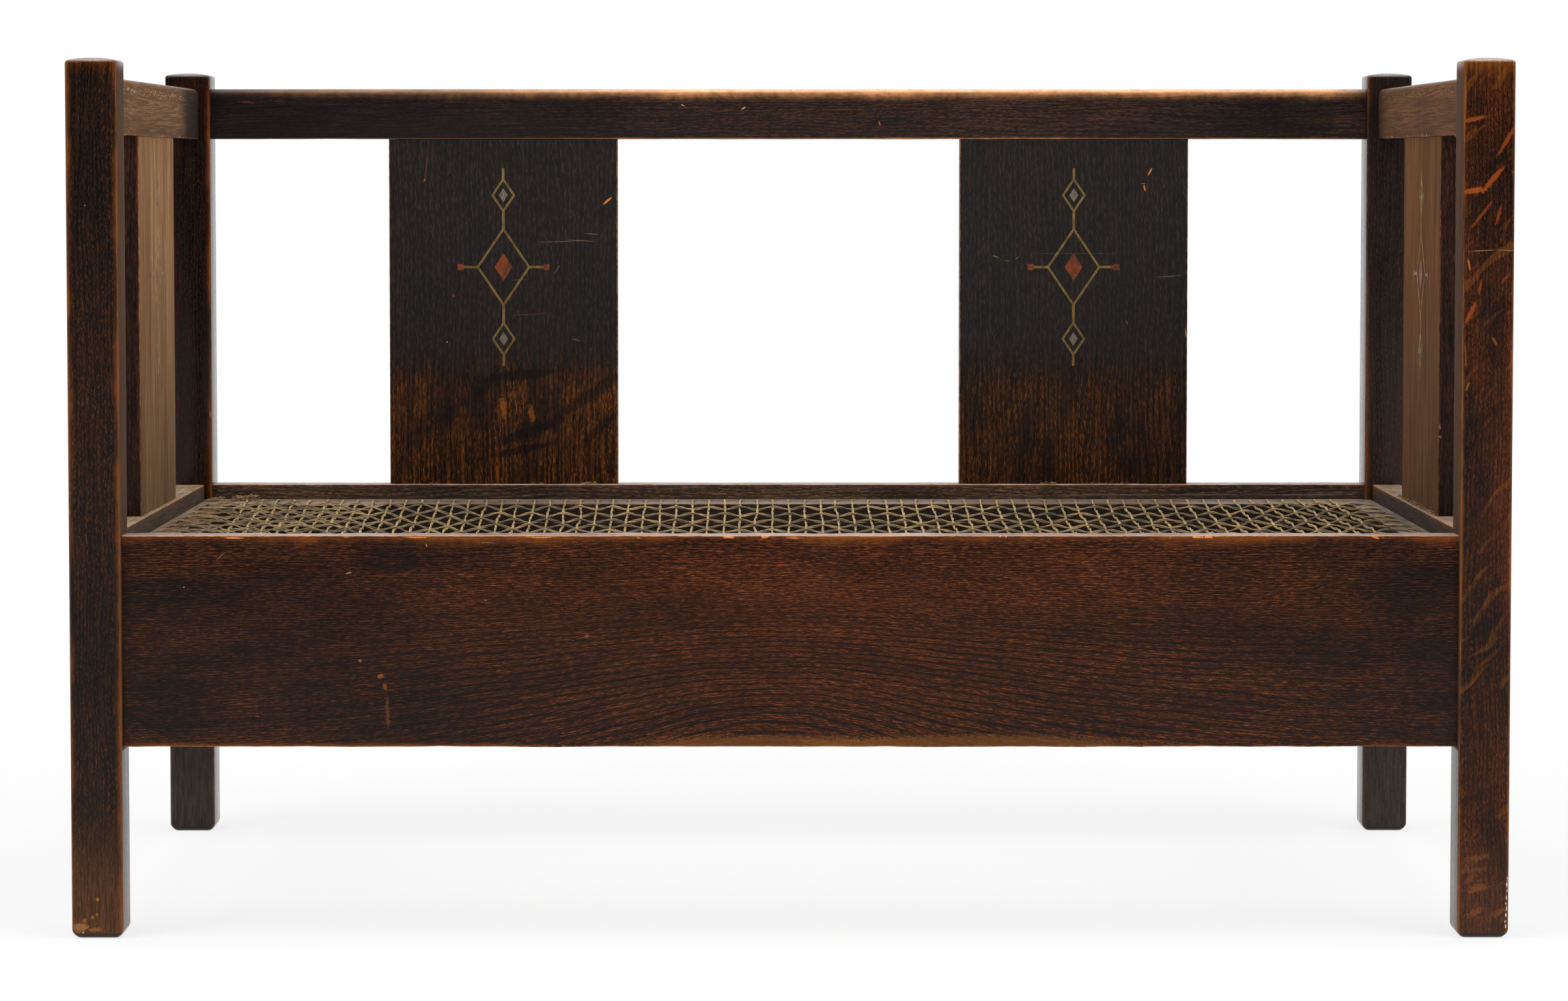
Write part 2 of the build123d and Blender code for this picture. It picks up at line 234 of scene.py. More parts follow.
# A scratch, chip or stain in one place: a long ragged spot that leans about the y or x axis
nodes, given, close = start_effect("placed_mark", ["Point", "Place", "Turn", "Half Size"],
                                   ["Raggedness"], ["Mark"])
local = nodes.vector("SUBTRACT", given["Point"], given["Place"])
turned = nodes.add("VectorRotate", {"Vector": local, "Rotation": given["Turn"]},
                   rotation_type="EULER_XYZ").outputs[0]
away = nodes.length(nodes.vector("DIVIDE", turned, given["Half Size"]))
torn = nodes.fibre_noise(given["Point"], 0.0022, 3.0, 0.7)
away = nodes.plus(away, nodes.swing(torn, given["Raggedness"]))
placed_mark = close(nodes.ramp(away, 1.05, 0.55))

# Small round knocks, on some parts of a board and not on others
nodes, given, close = start_effect("knocks", ["Point"], [], ["Dents"])
cells = nodes.add("TexVoronoi", {"Vector": given["Point"], "Scale": 11.0}).outputs["Distance"]
kept_few = nodes.fibre_noise(given["Point"], 0.09, 1.0)
knocks = close(nodes.times(nodes.ramp(cells, 0.03, 0.012), nodes.ramp(kept_few, 0.5, 0.6)))

# Dust, in drifts on whatever faces up. Where its tone is pale, as on the post tops and the crest's top round,
# it is also a painted highlight.
nodes, given, close = start_effect("settled_dust", ["Point", "Normal"], [], ["Dust"])
facing_up = nodes.ramp(nodes.parts(given["Normal"])["Z"], 0.35, 0.95)
drifts = nodes.fibre_noise(given["Point"], 0.02, 5.0, 0.7)
settled_dust = close(nodes.times(facing_up, nodes.ramp(drifts, 0.25, 0.7, 0.4, 1.0)))

grain_turns = {"x": (0, 0, 0), "y": (0, 0, -math.pi / 2), "z": (0, math.pi / 2, 0)}
end_margin = 0.2
shellac_shine = 0.15
grain_depth = 0.0005
# How strongly dents, chips and the inward faces' faded tone with its painted sheen cover the colour, and how
# much duller those faces are
dent_cover, chip_cover, faded_cover, faded_roughness = 0.2, 0.85, 0.92, 0.6
pore_grey, pore_brown, dust_on_edges = (88, 72, 60), (50, 36, 27), (132, 124, 118)


def oak(name, low, high, along, seed, dark=(14, 11, 9), warm=(104, 56, 30), red=(46, 24, 15),
        bare=(134, 70, 28), pale=(176, 122, 76), dusty=(150, 128, 110), gloss=0.32,
        dashes=0.5, dash=0.0068, dash_width=0.00062, row=0.0035, pits=0.6, rings=0.3, streaks=0.25,
        clouds=0.7, wander=0.02, hill=None, arches=None, patchy=0.0, blush=None, pool=None,
        neutral=None, flakes=None, bands=None, inward=None, inward_range=None, hair_share=0.75,
        broad=0.0, reach=0.0045, glow=0.8, evenness=0.0, chipping=-0.12, chips_above=False,
        open_ends=True, rubbed=None, worn_rows=None, crown=None, scuffed=None, marks=(), dust=0.35,
        shade=None, shade_facing=None):
    """The oak finish on a board between two corners, with its grain along one axis."""
    material, nodes, shader = new_material(name)
    plus, times, swing, ramp = nodes.plus, nodes.times, nodes.swing, nodes.ramp
    blend, fibre_noise, use = nodes.blend, nodes.fibre_noise, nodes.use
    spot = nodes.add("TexCoord").outputs["Object"]
    place = nodes.parts(spot)
    normal = nodes.add("NewGeometry").outputs["Normal"]
    facing = nodes.parts(normal)
    length_first = nodes.add("Mapping", {
        "Vector": spot, "Rotation": grain_turns[along],
        "Location": (seed * 1.7, seed * 0.9, seed * 2.3)}).outputs[0]

    def off(axis, middle):
        """How far a point is to either side of a place along an axis."""
        return nodes.math("ABSOLUTE", nodes.minus(place[axis], middle))

    def coat(amount, tone):
        """Lays one more tone over the colour so far."""
        nonlocal colour
        colour = blend(amount, colour, tone)

    # Where the grain, the wear, the knocks and the dust are
    half = (high - low) / 2
    if open_ends:
        half["xyz".index(along)] += end_margin
    if isinstance(reach, tuple):
        axis, first, last = reach
        middle = (low[axis] + high[axis]) / 2
        reach = ramp(place[axis], middle - 0.002, middle + 0.002, first, last)
    risen = 0.0
    if hill:
        top_at, width, height, level, steep = hill
        aside = nodes.math("DIVIDE", nodes.minus(place["X"], top_at), width)
        risen = nodes.math("DIVIDE", -height, plus(times(aside, aside), 1.0))
        risen = times(risen, ramp(place["Z"], level, steep))
    grain = use(oak_grain, {"Point": length_first, "Row": row, "Wander": wander, "Hill": risen,
                            "Dash Length": dash, "Dash Width": dash_width})
    worn = use(worn_arris, {"Point": spot, "Centre": (low + high) / 2, "Half Size": half,
                            "Reach": reach, "Chipping": chipping, "Evenness": evenness})
    dents = use(knocks, {"Point": spot})["Dents"]
    lying = use(settled_dust, {"Point": spot, "Normal": normal})["Dust"]
    cloud = ramp(grain["Clouds"], 0.34, 0.66)
    streak = ramp(grain["Streaks"], 0.42, 0.7)
    least_filled = 0.6
    if blush:
        least_filled = 0.26
        middle, width, most = blush
        cloud = plus(times(cloud, 0.6), ramp(off("X", middle), width, 0.0, 0.0, most))
    filled = times(grain["Dashes"], plus(least_filled, times(cloud, 0.6)))
    if pool:
        z_full, z_none, least = pool
        kept = ramp(plus(place["Z"], swing(grain["Clouds"], 0.08)), z_none, z_full, least, 1.0)
        filled, streak, cloud = (times(mask, kept) for mask in (filled, streak, cloud))

    # The stain, and the grain that shows through it
    colour = blend(times(cloud, clouds), dark, red)
    coat(times(streak, streaks), warm)
    coat(times(filled, dashes), warm)
    coat(times(grain["Pits"], pits), dark)
    coat(times(grain["Rings"], rings), dark)
    if patchy:
        patches = fibre_noise(length_first, (0.09, 0.03, 0.03), 4.0, 0.55)
        coat(ramp(patches, 0.47, 0.62, 0.0, patchy), dark)
    if arches:
        pitch, level, steep, middle, width, amount = arches
        bent = plus(plus(place["Z"], risen), times(fibre_noise(spot, (0.16, 0.05, 0.06)), 0.020))
        ring = nodes.math("SINE", times(bent, 2 * math.pi / pitch))
        shown = times(ramp(place["Z"], level, steep), ramp(off("X", middle), width, width * 0.5),
                      ramp(grain["Hairs"], 0.0, 0.5, 0.5, 1.0), ramp(ring, -0.35, -0.9))
        coat(times(shown, amount), dark)
    if neutral:
        clear, full, tone = neutral
        tone = blend(times(grain["Dashes"], 0.35), tone, pore_grey)
        tone = blend(times(cloud, 0.35), tone, pore_brown)
        coat(ramp(plus(place["Z"], swing(grain["Streaks"], 0.10)), clear, full, 0.0, 0.8), tone)
    if flakes:
        lean, length, thickness, amount = flakes
        flake = use(ray_flakes, {"Point": length_first, "Lean": lean, "Length": length,
                                 "Thickness": thickness})["Flakes"]
        coat(times(flake, ramp(grain["Hairs"], 0.0, 0.8, 0.45, 1.0), amount), bare)
    if bands:
        lean, length, thickness, amount = bands
        moved = nodes.vector("ADD", length_first, (3.0, 2.0, 1.0))
        band = use(ray_flakes, {"Point": moved, "Lean": lean, "Length": length,
                                "Thickness": thickness})["Flakes"]
        coat(times(band, amount), dark)
    rough = ramp(grain["Streaks"], 0.3, 0.7, gloss - 0.05, gloss + 0.08)

    # The faces that look inwards have faded, and are dry and dull. Their paler tone is partly that faded
    # finish and partly a painted sheen, laid in colour where their shine is dulled away.
    if inward:
        way, tone, deep = inward
        turned = ramp(times(facing["X"], way), 0.5, 0.9)
        if inward_range:
            above, below = inward_range
            turned = times(turned, ramp(place["Z"], above - 0.004, above),
                           ramp(place["Z"], below + 0.012, below))
        faded = blend(times(grain["Hairs"], hair_share), tone, deep)
        faded = blend(times(ramp(grain["Streaks"], 0.38, 0.62), 0.5), faded, deep)
        faded = blend(times(cloud, 0.3), faded, deep)
        if broad:
            bars = fibre_noise(length_first, (0.30, 0.016, 0.016), 4.0, 0.65)
            faded = blend(ramp(bars, 0.44, 0.60, 0.0, broad), faded, deep)
        coat(times(turned, faded_cover), faded)
        rough = plus(rough, times(turned, faded_roughness))

    # Knocks, flecks, rubbed and chipped arrises, scuffed feet with a painted contact shadow on their
    # chamfers, and marks in their places
    coat(times(dents, dent_cover), pale)
    if worn_rows:
        axis, row_low, row_high, amount = worn_rows
        breadth = (row_high - row_low) / 2
        flecks = ramp(fibre_noise(spot, (0.004, 0.012, 0.0013), 2.0), 0.56, 0.63)
        shown = ramp(off(axis, (row_low + row_high) / 2), breadth, breadth * 0.4)
        coat(times(flecks, shown, amount), pale)
    lay = nodes.math("MULTIPLY", worn["Glow"], plus(glow, swing(streak, 0.4)), clamp=True)
    line = times(worn["Line"], glow)
    sheen = times(lying, ramp(grain["Streaks"], 0.35, 0.65, 0.7 * dust, dust))
    # The rubbed span: there the worn arris and the pale dust tone also paint the top round's highlight;
    # beyond it a grey dust tone stands, also a faint painted highlight.
    if rubbed:
        axis, first, first_full, last_full, last = rubbed
        between = times(ramp(place[axis], first, first_full), ramp(place[axis], last, last_full))
        lay, line = times(lay, between), times(line, between)
        dusty = blend(between, dust_on_edges, dusty)
    if crown:
        start, end, most = crown
        coat(times(ramp(plus(place["Z"], swing(grain["Streaks"], 0.03)), start, end), most), bare)
    coat(lay, bare)
    coat(line, pale)
    chipped = times(worn["Chips"], chip_cover)
    if chips_above:
        chipped = times(chipped, ramp(place["Z"], (low.z + high.z) / 2, high.z - 0.01))
    coat(chipped, pale)
    if scuffed:
        clear, full, tone, most = scuffed
        rubs = fibre_noise(length_first, (0.022, 0.0014, 0.0014))
        height = plus(place["Z"], swing(grain["Streaks"], 0.05))
        coat(times(ramp(height, clear, full), most, ramp(rubs, 0.36, 0.62, 0.35, 1.0)), tone)
    for where, turn, half_size, raggedness, tone, most in marks:
        mark = use(placed_mark, {"Point": spot, "Place": where, "Turn": turn,
                                 "Half Size": half_size, "Raggedness": raggedness})["Mark"]
        coat(times(mark, most), tone)
    # Painted contact shadow: the foot's chamfer is painted near black, as the shadow where the post meets the
    # floor.
    if scuffed:
        coat(ramp(place["Z"], foot_chamfer + 0.0005, foot_chamfer - 0.002, 0.0, 0.85), dark)

    # Dust on what faces up, which on the post tops and the crest is also a painted highlight; then a
    # darkening along one axis
    coat(sheen, dusty)
    # Painted shade on the rails' inner faces below the seat, where the seat's shade falls; on the other
    # boards that take it, only a darker tone towards one end or near the back posts.
    if shade:
        axis, clear, full, amount = shade
        deep = ramp(place[axis], clear, full, 0.0, amount)
        if shade_facing:
            side, way = shade_facing
            deep = times(deep, ramp(times(facing[side], way), 0.5, 0.9))
        coat(deep, dark)
    nodes.put(colour, shader.inputs["Base Color"])
    nodes.put(plus(rough, times(lying, 0.15 * dust)), shader.inputs["Roughness"])
    nodes.put(shellac_shine, shader.inputs["Specular IOR Level"])
    pores = plus(times(grain["Dashes"], 0.4), dents)
    bump = nodes.add("Bump", {"Height": nodes.minus(times(grain["Streaks"], 0.6), pores),
                              "Strength": 0.3, "Distance": grain_depth})
    nodes.put(bump.outputs[0], shader.inputs["Normal"])
    return material


# Corner posts: four squares of solid oak. Each top is a low pillow, each foot is chamfered, and
# the long arrises are softened and knocked by use.
foot_chamfer = 0.005
dome_rise = 0.003
dome_rings = 6
post_round = 0.0026
post_wear = 0.0003
cut_length = 0.004
arris_breadth = 0.0016
fine_lump, broad_lump = 0.012, 0.035
sharp_angle, smooth_angle = math.radians(40), math.radians(35)
hair = 0.00001


def block(name, low, high):
    """A plain block between two corners, with its origin at the world's."""
    bpy.ops.object.select_all(action="DESELECT")
    bpy.ops.mesh.primitive_cube_add(size=1, location=(low + high) / 2, scale=high - low)
    made = bpy.context.object
    made.name = made.data.name = name
    bpy.ops.object.transform_apply(location=True, rotation=True, scale=True)
    return made


def pick_edges(piece, wanted):
    """Leaves edit mode on with those edges selected whose middle and direction are wanted."""
    bpy.ops.object.mode_set(mode="EDIT")
    bpy.ops.mesh.select_mode(type="EDGE")
    bpy.ops.mesh.select_all(action="DESELECT")
    bpy.ops.object.mode_set(mode="OBJECT")
    spots = piece.data.vertices
    for edge in piece.data.edges:
        first, last = (spots[i].co for i in edge.vertices)
        edge.select = wanted((first + last) / 2, last - first)
    bpy.ops.object.mode_set(mode="EDIT")


def pick_faces(piece, wanted):
    """Leaves edit mode on with those faces selected whose middle and normal are wanted."""
    bpy.ops.object.mode_set(mode="EDIT")
    bpy.ops.mesh.select_mode(type="FACE")
    bpy.ops.mesh.select_all(action="DESELECT")
    bpy.ops.object.mode_set(mode="OBJECT")
    for face in piece.data.polygons:
        face.select = wanted(face.center, face.normal)
    bpy.ops.object.mode_set(mode="EDIT")


def cut_along(piece, axis):
    """Cuts a board into short lengths, so that its arrises can be knocked out of true."""
    low, high = (f(v.co[axis] for v in piece.data.vertices) for f in (min, max))
    pick_edges(piece, lambda middle, way: abs(way[axis]) > 0.6 * (high - low))
    bpy.ops.mesh.subdivide(number_cuts=int((high - low) / cut_length))
    bpy.ops.object.mode_set(mode="OBJECT")


def knock_arrises(piece, low, high, axes, deep):
    """Wears the long arrises back unevenly. axes are the two across the board."""
    group = piece.vertex_groups.new(name="arris")
    near = [v.index for v in piece.data.vertices
            if all(min(v.co[a] - low[a], high[a] - v.co[a]) < arris_breadth for a in axes)]
    group.add(near, 1.0, "REPLACE")
    for size, share, contrast in ((fine_lump, 0.4, 1.2), (broad_lump, 1.0, 3.0)):
        lumps = bpy.data.textures.new(f"{piece.name}_wear", "CLOUDS")
        lumps.noise_scale = size
        lumps.noise_depth = 3
        lumps.contrast = contrast
        lumps.intensity = 0.8
        worn = piece.modifiers.new("wear", "DISPLACE")
        worn.texture = lumps
        worn.texture_coords = "LOCAL"
        worn.vertex_group = "arris"
        worn.mid_level = 0.0
        worn.strength = -deep * share
        bpy.ops.object.modifier_apply(modifier=worn.name)
        bpy.data.textures.remove(lumps)
    piece.vertex_groups.clear()


def finish_board(piece, material, node):
    """Shades a board, gives it its finish, and ties it to the settle."""
    bpy.ops.object.mode_set(mode="OBJECT")
    bpy.ops.object.shade_smooth_by_angle(angle=smooth_angle)
    give_finish(piece, material)
    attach(piece, "settle_frame")
    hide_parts(node)


def corner_post(side, end, seed, **finish):
    """A post with a pillowed top, a chamfered foot and rounded, worn arrises."""
    node = f"post_{end}_{side}"
    low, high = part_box(node)
    half = (high.x - low.x) / 2
    piece = block(f"corner_{node}", low, Vector((high.x, high.y, high.z - dome_rise)))
    pick_faces(piece, lambda middle, normal: normal.z > 0.9)
    for ring in range(1, dome_rings):
        rise = dome_rise * ((1 - (ring - 1) / dome_rings) ** 2 - (1 - ring / dome_rings) ** 2)
        bpy.ops.mesh.inset(thickness=half / dome_rings, depth=rise)
    pick_edges(piece, lambda middle, way: middle.z < low.z + hair)
    bpy.ops.mesh.bevel(offset=foot_chamfer, segments=1, affect="EDGES")
    bpy.ops.mesh.select_all(action="DESELECT")
    bpy.ops.mesh.edges_select_sharp(sharpness=sharp_angle)
    bpy.ops.mesh.bevel(offset=post_round, segments=4, affect="EDGES")
    bpy.ops.object.mode_set(mode="OBJECT")
    cut_along(piece, 2)
    knock_arrises(piece, low, high, (0, 1), post_wear)
    finish_board(piece, oak(f"oak_{node}", low, high, "z", seed, open_ends=False, dust=0.6, **finish), node)


# Scratches, chips, flakes and bare spots are laid one by one, in their places.
mark_depth = 0.004


def marks_on(face, rows):
    """Marks on a front face at that y. A row is a mark's x, z and lean in degrees, its length and
    width, its tone, how strong it is and how ragged."""
    return [((x, face, z), (0, math.radians(-lean), 0), (long / 2, mark_depth, wide / 2), ragged, tone, most)
            for x, z, lean, long, wide, tone, most, ragged in rows]


between_rails = (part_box("seat_rail_front")[0].z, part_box("arm_rail_left")[1].z)
front_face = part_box("post_front_left")[0].y
foot_spots = marks_on(front_face, [
    (-0.6000 + step, z, 0, size, size, tone, 0.7, 1.2) for step, z, size, tone in (
        (0.0000, 0.0345, 0.0034, (176, 112, 34)), (-0.0006, 0.0214, 0.0030, (170, 104, 36)),
        (-0.0045, 0.0188, 0.0036, (160, 96, 34)), (-0.0115, 0.0160, 0.0050, (150, 88, 34)),
        (-0.0128, 0.0055, 0.0018, (240, 220, 180)), (-0.0060, 0.6350, 0.0012, (190, 140, 100)))])
foot_spots += marks_on(front_face, [
    (-0.6145, 0.0100, 0, 0.0150, 0.0090, (176, 118, 70), 0.6, 2.4),
    (-0.6020, 0.0080, 0, 0.0140, 0.0040, (166, 108, 62), 0.5, 2.6)])
corner_post("left", "front", 1, dark=(9, 8, 7), red=(36, 19, 9), warm=(118, 62, 20), bare=(150, 82, 28),
            dusty=(176, 162, 156), gloss=0.22, dashes=0.38, dash=0.0035, pits=0.8, streaks=0.12, clouds=0.5,
            reach=(0, 0.0055, 0.0055), evenness=0.35, inward=(1, (100, 72, 52), (62, 42, 28)),
            inward_range=between_rails, crown=(0.745, 0.763, 0.22), scuffed=(0.13, 0.0, (150, 96, 56), 0.32),
            marks=foot_spots)
scratch_tone, white_chip, foot_wear = (178, 134, 92), (226, 222, 214), (150, 82, 36)
right_marks = marks_on(front_face, [
    (0.5950, 0.5961, -3, 0.026, 0.0009, scratch_tone, 0.6, 0.8),
    (0.6160, 0.5963, 3, 0.020, 0.0009, scratch_tone, 0.55, 0.8),
    (0.5834, 0.5841, 80, 0.012, 0.0018, (186, 120, 60), 0.7, 1.2),
    (0.6060, 0.5180, 60, 0.010, 0.0030, (150, 74, 24), 0.6, 1.2)])
right_marks += marks_on(front_face, [(x, z, 90, size, 0.0013, white_chip, 0.8, 2.6) for x, z, size in (
    (0.6212, 0.0530, 0.003), (0.6207, 0.0475, 0.006), (0.6210, 0.0420, 0.003), (0.6204, 0.0360, 0.004),
    (0.6200, 0.0310, 0.002), (0.6206, 0.0265, 0.005), (0.6201, 0.0205, 0.004), (0.6194, 0.0150, 0.003),
    (0.6198, 0.0105, 0.004))])
right_marks += marks_on(front_face, [(*row, 1.8) for row in (
    (0.5867, 0.7088, -12, 0.026, 0.0044, (160, 82, 30), 0.60),
    (0.6155, 0.6915, -60, 0.036, 0.0040, (158, 70, 22), 0.60),
    (0.5880, 0.6478, -8, 0.024, 0.0056, (170, 78, 24), 0.75),
    (0.6035, 0.6575, -50, 0.034, 0.0052, (164, 74, 22), 0.70),
    (0.5941, 0.6270, -52, 0.036, 0.0032, (146, 64, 20), 0.52),
    (0.6087, 0.6270, -75, 0.020, 0.0034, (150, 66, 20), 0.55),
    (0.5932, 0.5648, -80, 0.015, 0.0028, (152, 68, 22), 0.58),
    (0.6150, 0.5726, -50, 0.014, 0.0028, (146, 64, 20), 0.50),
    (0.5853, 0.5429, -65, 0.024, 0.0044, (162, 72, 22), 0.65),
    (0.5812, 0.5059, 88, 0.024, 0.0014, (160, 90, 34), 0.50),
    (0.6191, 0.5154, -80, 0.016, 0.0024, (130, 58, 20), 0.35),
    (0.5832, 0.4795, -70, 0.010, 0.0022, (170, 108, 46), 0.45))])
right_marks += marks_on(front_face, [(x, z, lean, size, wide, foot_wear, most, 4.0)
                                     for x, z, lean, size, wide, most in (
    (0.5948, 0.0440, -15, 0.020, 0.0075, 0.42), (0.5937, 0.0232, -25, 0.018, 0.0060, 0.36),
    (0.6140, 0.0231, -30, 0.020, 0.0055, 0.34), (0.5948, 0.0705, -10, 0.026, 0.0050, 0.26),
    (0.5937, 0.0600, -10, 0.022, 0.0045, 0.24), (0.5892, 0.0519, -50, 0.014, 0.0055, 0.30))])
corner_post("right", "front", 2, dark=(12, 8, 5), red=(74, 33, 11), warm=(134, 66, 22), bare=(164, 94, 26),
            dusty=(196, 184, 178), gloss=0.22, dash=0.003, pits=0.75, streaks=0.15, clouds=0.9, patchy=0.25,
            flakes=(-0.75, 0.05, 0.009, 0.24), bands=(-0.88, 0.08, 0.014, 0.5), reach=(0, 0.0028, 0.0035),
            evenness=0.3, inward=(-1, (92, 64, 44), (56, 38, 26)), inward_range=between_rails,
            crown=(0.742, 0.766, 0.38), scuffed=(0.11, 0.0, (132, 92, 66), 0.20), marks=right_marks)
corner_post("left", "back", 3, dashes=0.3, streaks=0.12, warm=(84, 46, 22), reach=(0, 0.0015, 0.005),
            gloss=0.1, dark=(11, 8, 6), dash=0.0035, dusty=(150, 140, 136),
            scuffed=(0.22, 0.0, (92, 80, 72), 0.40))
corner_post("right", "back", 4, dashes=0.42, streaks=0.2, warm=(92, 62, 48), reach=(0, 0.0045, 0.002),
            gloss=0.1, dark=(25, 22, 20), dash=0.0035, shade=(2, 0.48, 0.64, 0.4),
            scuffed=(0.22, 0.0, (88, 82, 78), 0.32), dusty=(188, 184, 182))

# Seat rails: four wide boards on edge between the posts, tenoned into them. Their top arrises
# have been rubbed and chipped by a century of cushions.
seat_top_round = 0.0014
lower_round = 0.0015
light_wear, hand_wear, hard_wear = 0.0003, 0.0004, 0.0006


def rail(name, node, axis, top_round, deep, seed, **finish):
    """A board between two posts, along x (0) or y (1). Its ends meet the posts' faces."""
    low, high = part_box(node)
    low[axis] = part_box("post_front_left")[1][axis]
    high[axis] = -low[axis]
    piece = block(name, low, high)
    pick_edges(piece, lambda middle, way: abs(way[axis]) > 0.1 and middle.z > high.z - hair)
    bpy.ops.mesh.bevel(offset=top_round, segments=5, affect="EDGES")
    pick_edges(piece, lambda middle, way: abs(way[axis]) > 0.1 and middle.z < low.z + hair)
    bpy.ops.mesh.bevel(offset=lower_round, segments=3, affect="EDGES")
    bpy.ops.object.mode_set(mode="OBJECT")
    cut_along(piece, axis)
    knock_arrises(piece, low, high, (1 - axis, 2), deep)
    finish_board(piece, oak(f"oak_{node}", low, high, "xy"[axis], seed, **finish), node)


rail_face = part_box("seat_rail_front")[0].y
splinter, straw_fleck, dark_cloud = (224, 138, 74), (196, 160, 92), (10, 9, 8)
rail_marks = marks_on(rail_face, [
    (-0.4810, 0.3478, 1, 0.019, 0.0017, (226, 140, 70), 0.95, 0.6),
    (-0.3233, 0.3482, 0, 0.024, 0.0013, splinter, 0.9, 1.2),
    (-0.2156, 0.3481, 0, 0.024, 0.0012, splinter, 0.85, 1.4),
    (-0.2613, 0.3437, 2, 0.020, 0.0007, (184, 120, 76), 0.6, 1.2),
    (-0.3146, 0.3415, 70, 0.0040, 0.0012, (210, 122, 56), 0.8, 1.0),
    (0.0026, 0.3478, 1, 0.018, 0.0012, splinter, 0.8, 1.4),
    (0.5053, 0.3484, 20, 0.009, 0.0026, (206, 122, 52), 0.95, 0.8),
    (-0.4925, 0.3318, -42, 0.011, 0.0006, straw_fleck, 0.5, 1.2),
    (-0.3819, 0.3174, -14, 0.006, 0.0011, straw_fleck, 0.85, 1.0),
    (-0.5243, 0.3051, 0, 0.0013, 0.0013, (196, 190, 180), 0.8, 0.4),
    (-0.2635, 0.2936, 0, 0.0030, 0.0010, (160, 104, 66), 0.7, 1.0),
    (-0.3724, 0.2413, 0, 0.0036, 0.0030, (176, 106, 72), 0.75, 1.0),
    (-0.3549, 0.2277, 0, 0.0070, 0.0050, (166, 88, 40), 0.7, 1.8),
    (-0.3509, 0.2187, 80, 0.0070, 0.0040, (140, 82, 36), 0.6, 2.2),
    (-0.3489, 0.1961, 86, 0.0300, 0.0046, (112, 64, 32), 0.5, 2.8),
    (-0.4618, 0.1929, 0, 0.0050, 0.0010, (158, 60, 30), 0.7, 1.0)])
rail_marks += marks_on(rail_face, [(x, z, 2, long, wide, dark_cloud, most, 0.5)
                                   for x, z, long, wide, most in (
    (-0.345, 0.3280, 0.070, 0.026, 0.6), (-0.450, 0.2700, 0.300, 0.140, 0.32),
    (0.530, 0.3050, 0.100, 0.060, 0.45), (0.560, 0.2300, 0.080, 0.080, 0.45),
    (-0.530, 0.2000, 0.120, 0.060, 0.35))])
rail_marks += marks_on(rail_face, [(x, 0.1680, 0, long, 0.020, (134, 84, 34), 0.40, 1.2)
                                   for x, long in ((-0.02, 0.26), (0.16, 0.34))])
rail("front_seat_rail", "seat_rail_front", 0, seat_top_round, hard_wear, 5, dark=(15, 9, 6),
     red=(58, 24, 8), warm=(166, 86, 32), bare=(150, 82, 26), pale=(230, 150, 96), dusty=(190, 168, 158),
     clouds=0.8, dashes=0.70, dash=0.0065, dash_width=0.0005, row=0.0023, rings=0.4, streaks=0.06,
     wander=0.009, hill=(-0.02, 0.22, 0.085, 0.34, 0.19), arches=(0.0080, 0.31, 0.25, 0.05, 0.56, 0.9),
     patchy=0.2, blush=(0.10, 0.50, 0.75), reach=(2, 0.004, 0.010), evenness=0.3, chipping=-0.03,
     chips_above=True, dust=0.85, marks=rail_marks)
# Painted shade: the rails' inner faces below the seat are painted dark.
below_seat = (2, 0.334, 0.318, 0.85)
rail("back_seat_rail", "seat_rail_back", 0, seat_top_round, light_wear, 6, dashes=0.6, dust=0.75,
     warm=(142, 108, 80), dark=(38, 31, 27), red=(74, 55, 43), dusty=(206, 186, 176), reach=0.002,
     chipping=-0.3, shade=below_seat, shade_facing=(1, -1),
     marks=marks_on(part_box("seat_rail_back")[0].y, [
         (x, 0.3392, 0, 0.11, 0.0009, (120, 108, 98), 0.7, 0.8) for x in (0.32, 0.42, 0.52)]))
rail("left_seat_rail", "seat_rail_left", 1, seat_top_round, light_wear, 7, dust=0.9, dusty=(172, 148, 118),
     inward=(1, (92, 76, 60), (60, 46, 34)), shade=below_seat, shade_facing=(0, 1))
rail("right_seat_rail", "seat_rail_right", 1, seat_top_round, light_wear, 8, dust=0.85, dusty=(168, 146, 122),
     inward=(-1, (68, 56, 46), (46, 38, 30)), shade=below_seat, shade_facing=(0, -1))

# Crest rail and arm rails: narrower boards of one height, well rounded above, where hands have
# rubbed the stain away.
arm_round = 0.0063
# On the crest the bright bare and dust tones along the top round are partly wear and dust, partly a painted
# highlight of the lamp above; the grey dust tone at its ends is a faint painted highlight too.
rail("top_crest_rail", "crest_rail", 0, arm_round, light_wear, 9, dark=(18, 16, 16), red=(50, 34, 27),
     warm=(128, 82, 58), bare=(250, 172, 106), dusty=(248, 208, 174), dashes=0.45, streaks=0.14, pits=0.7,
     patchy=0.2, blush=(0.16, 0.55, 0.65), reach=(2, 0.002, 0.012), glow=1.0, evenness=0.75, chipping=-0.3,
     rubbed=(0, -0.62, -0.42, 0.52, 0.60), dust=0.85, shade=(0, -0.05, -0.40, 0.65),
     marks=marks_on(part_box("crest_rail")[0].y, [
         (-0.1060, 0.7300, 30, 0.0040, 0.0012, (190, 176, 160), 0.8, 1.6),
         (-0.0450, 0.7270, -30, 0.0060, 0.0014, (190, 176, 160), 0.8, 1.8),
         (0.0910, 0.7120, 70, 0.0060, 0.0016, (190, 96, 34), 0.8, 1.2),
         (-0.5420, 0.7330, 4, 0.0200, 0.0022, (168, 66, 34), 0.6, 2.0),
         (-0.5100, 0.7340, 0, 0.0140, 0.0018, (150, 70, 40), 0.5, 2.0),
         (0.4850, 0.7150, 0, 0.1500, 0.0500, (16, 14, 14), 0.5, 0.6)]))
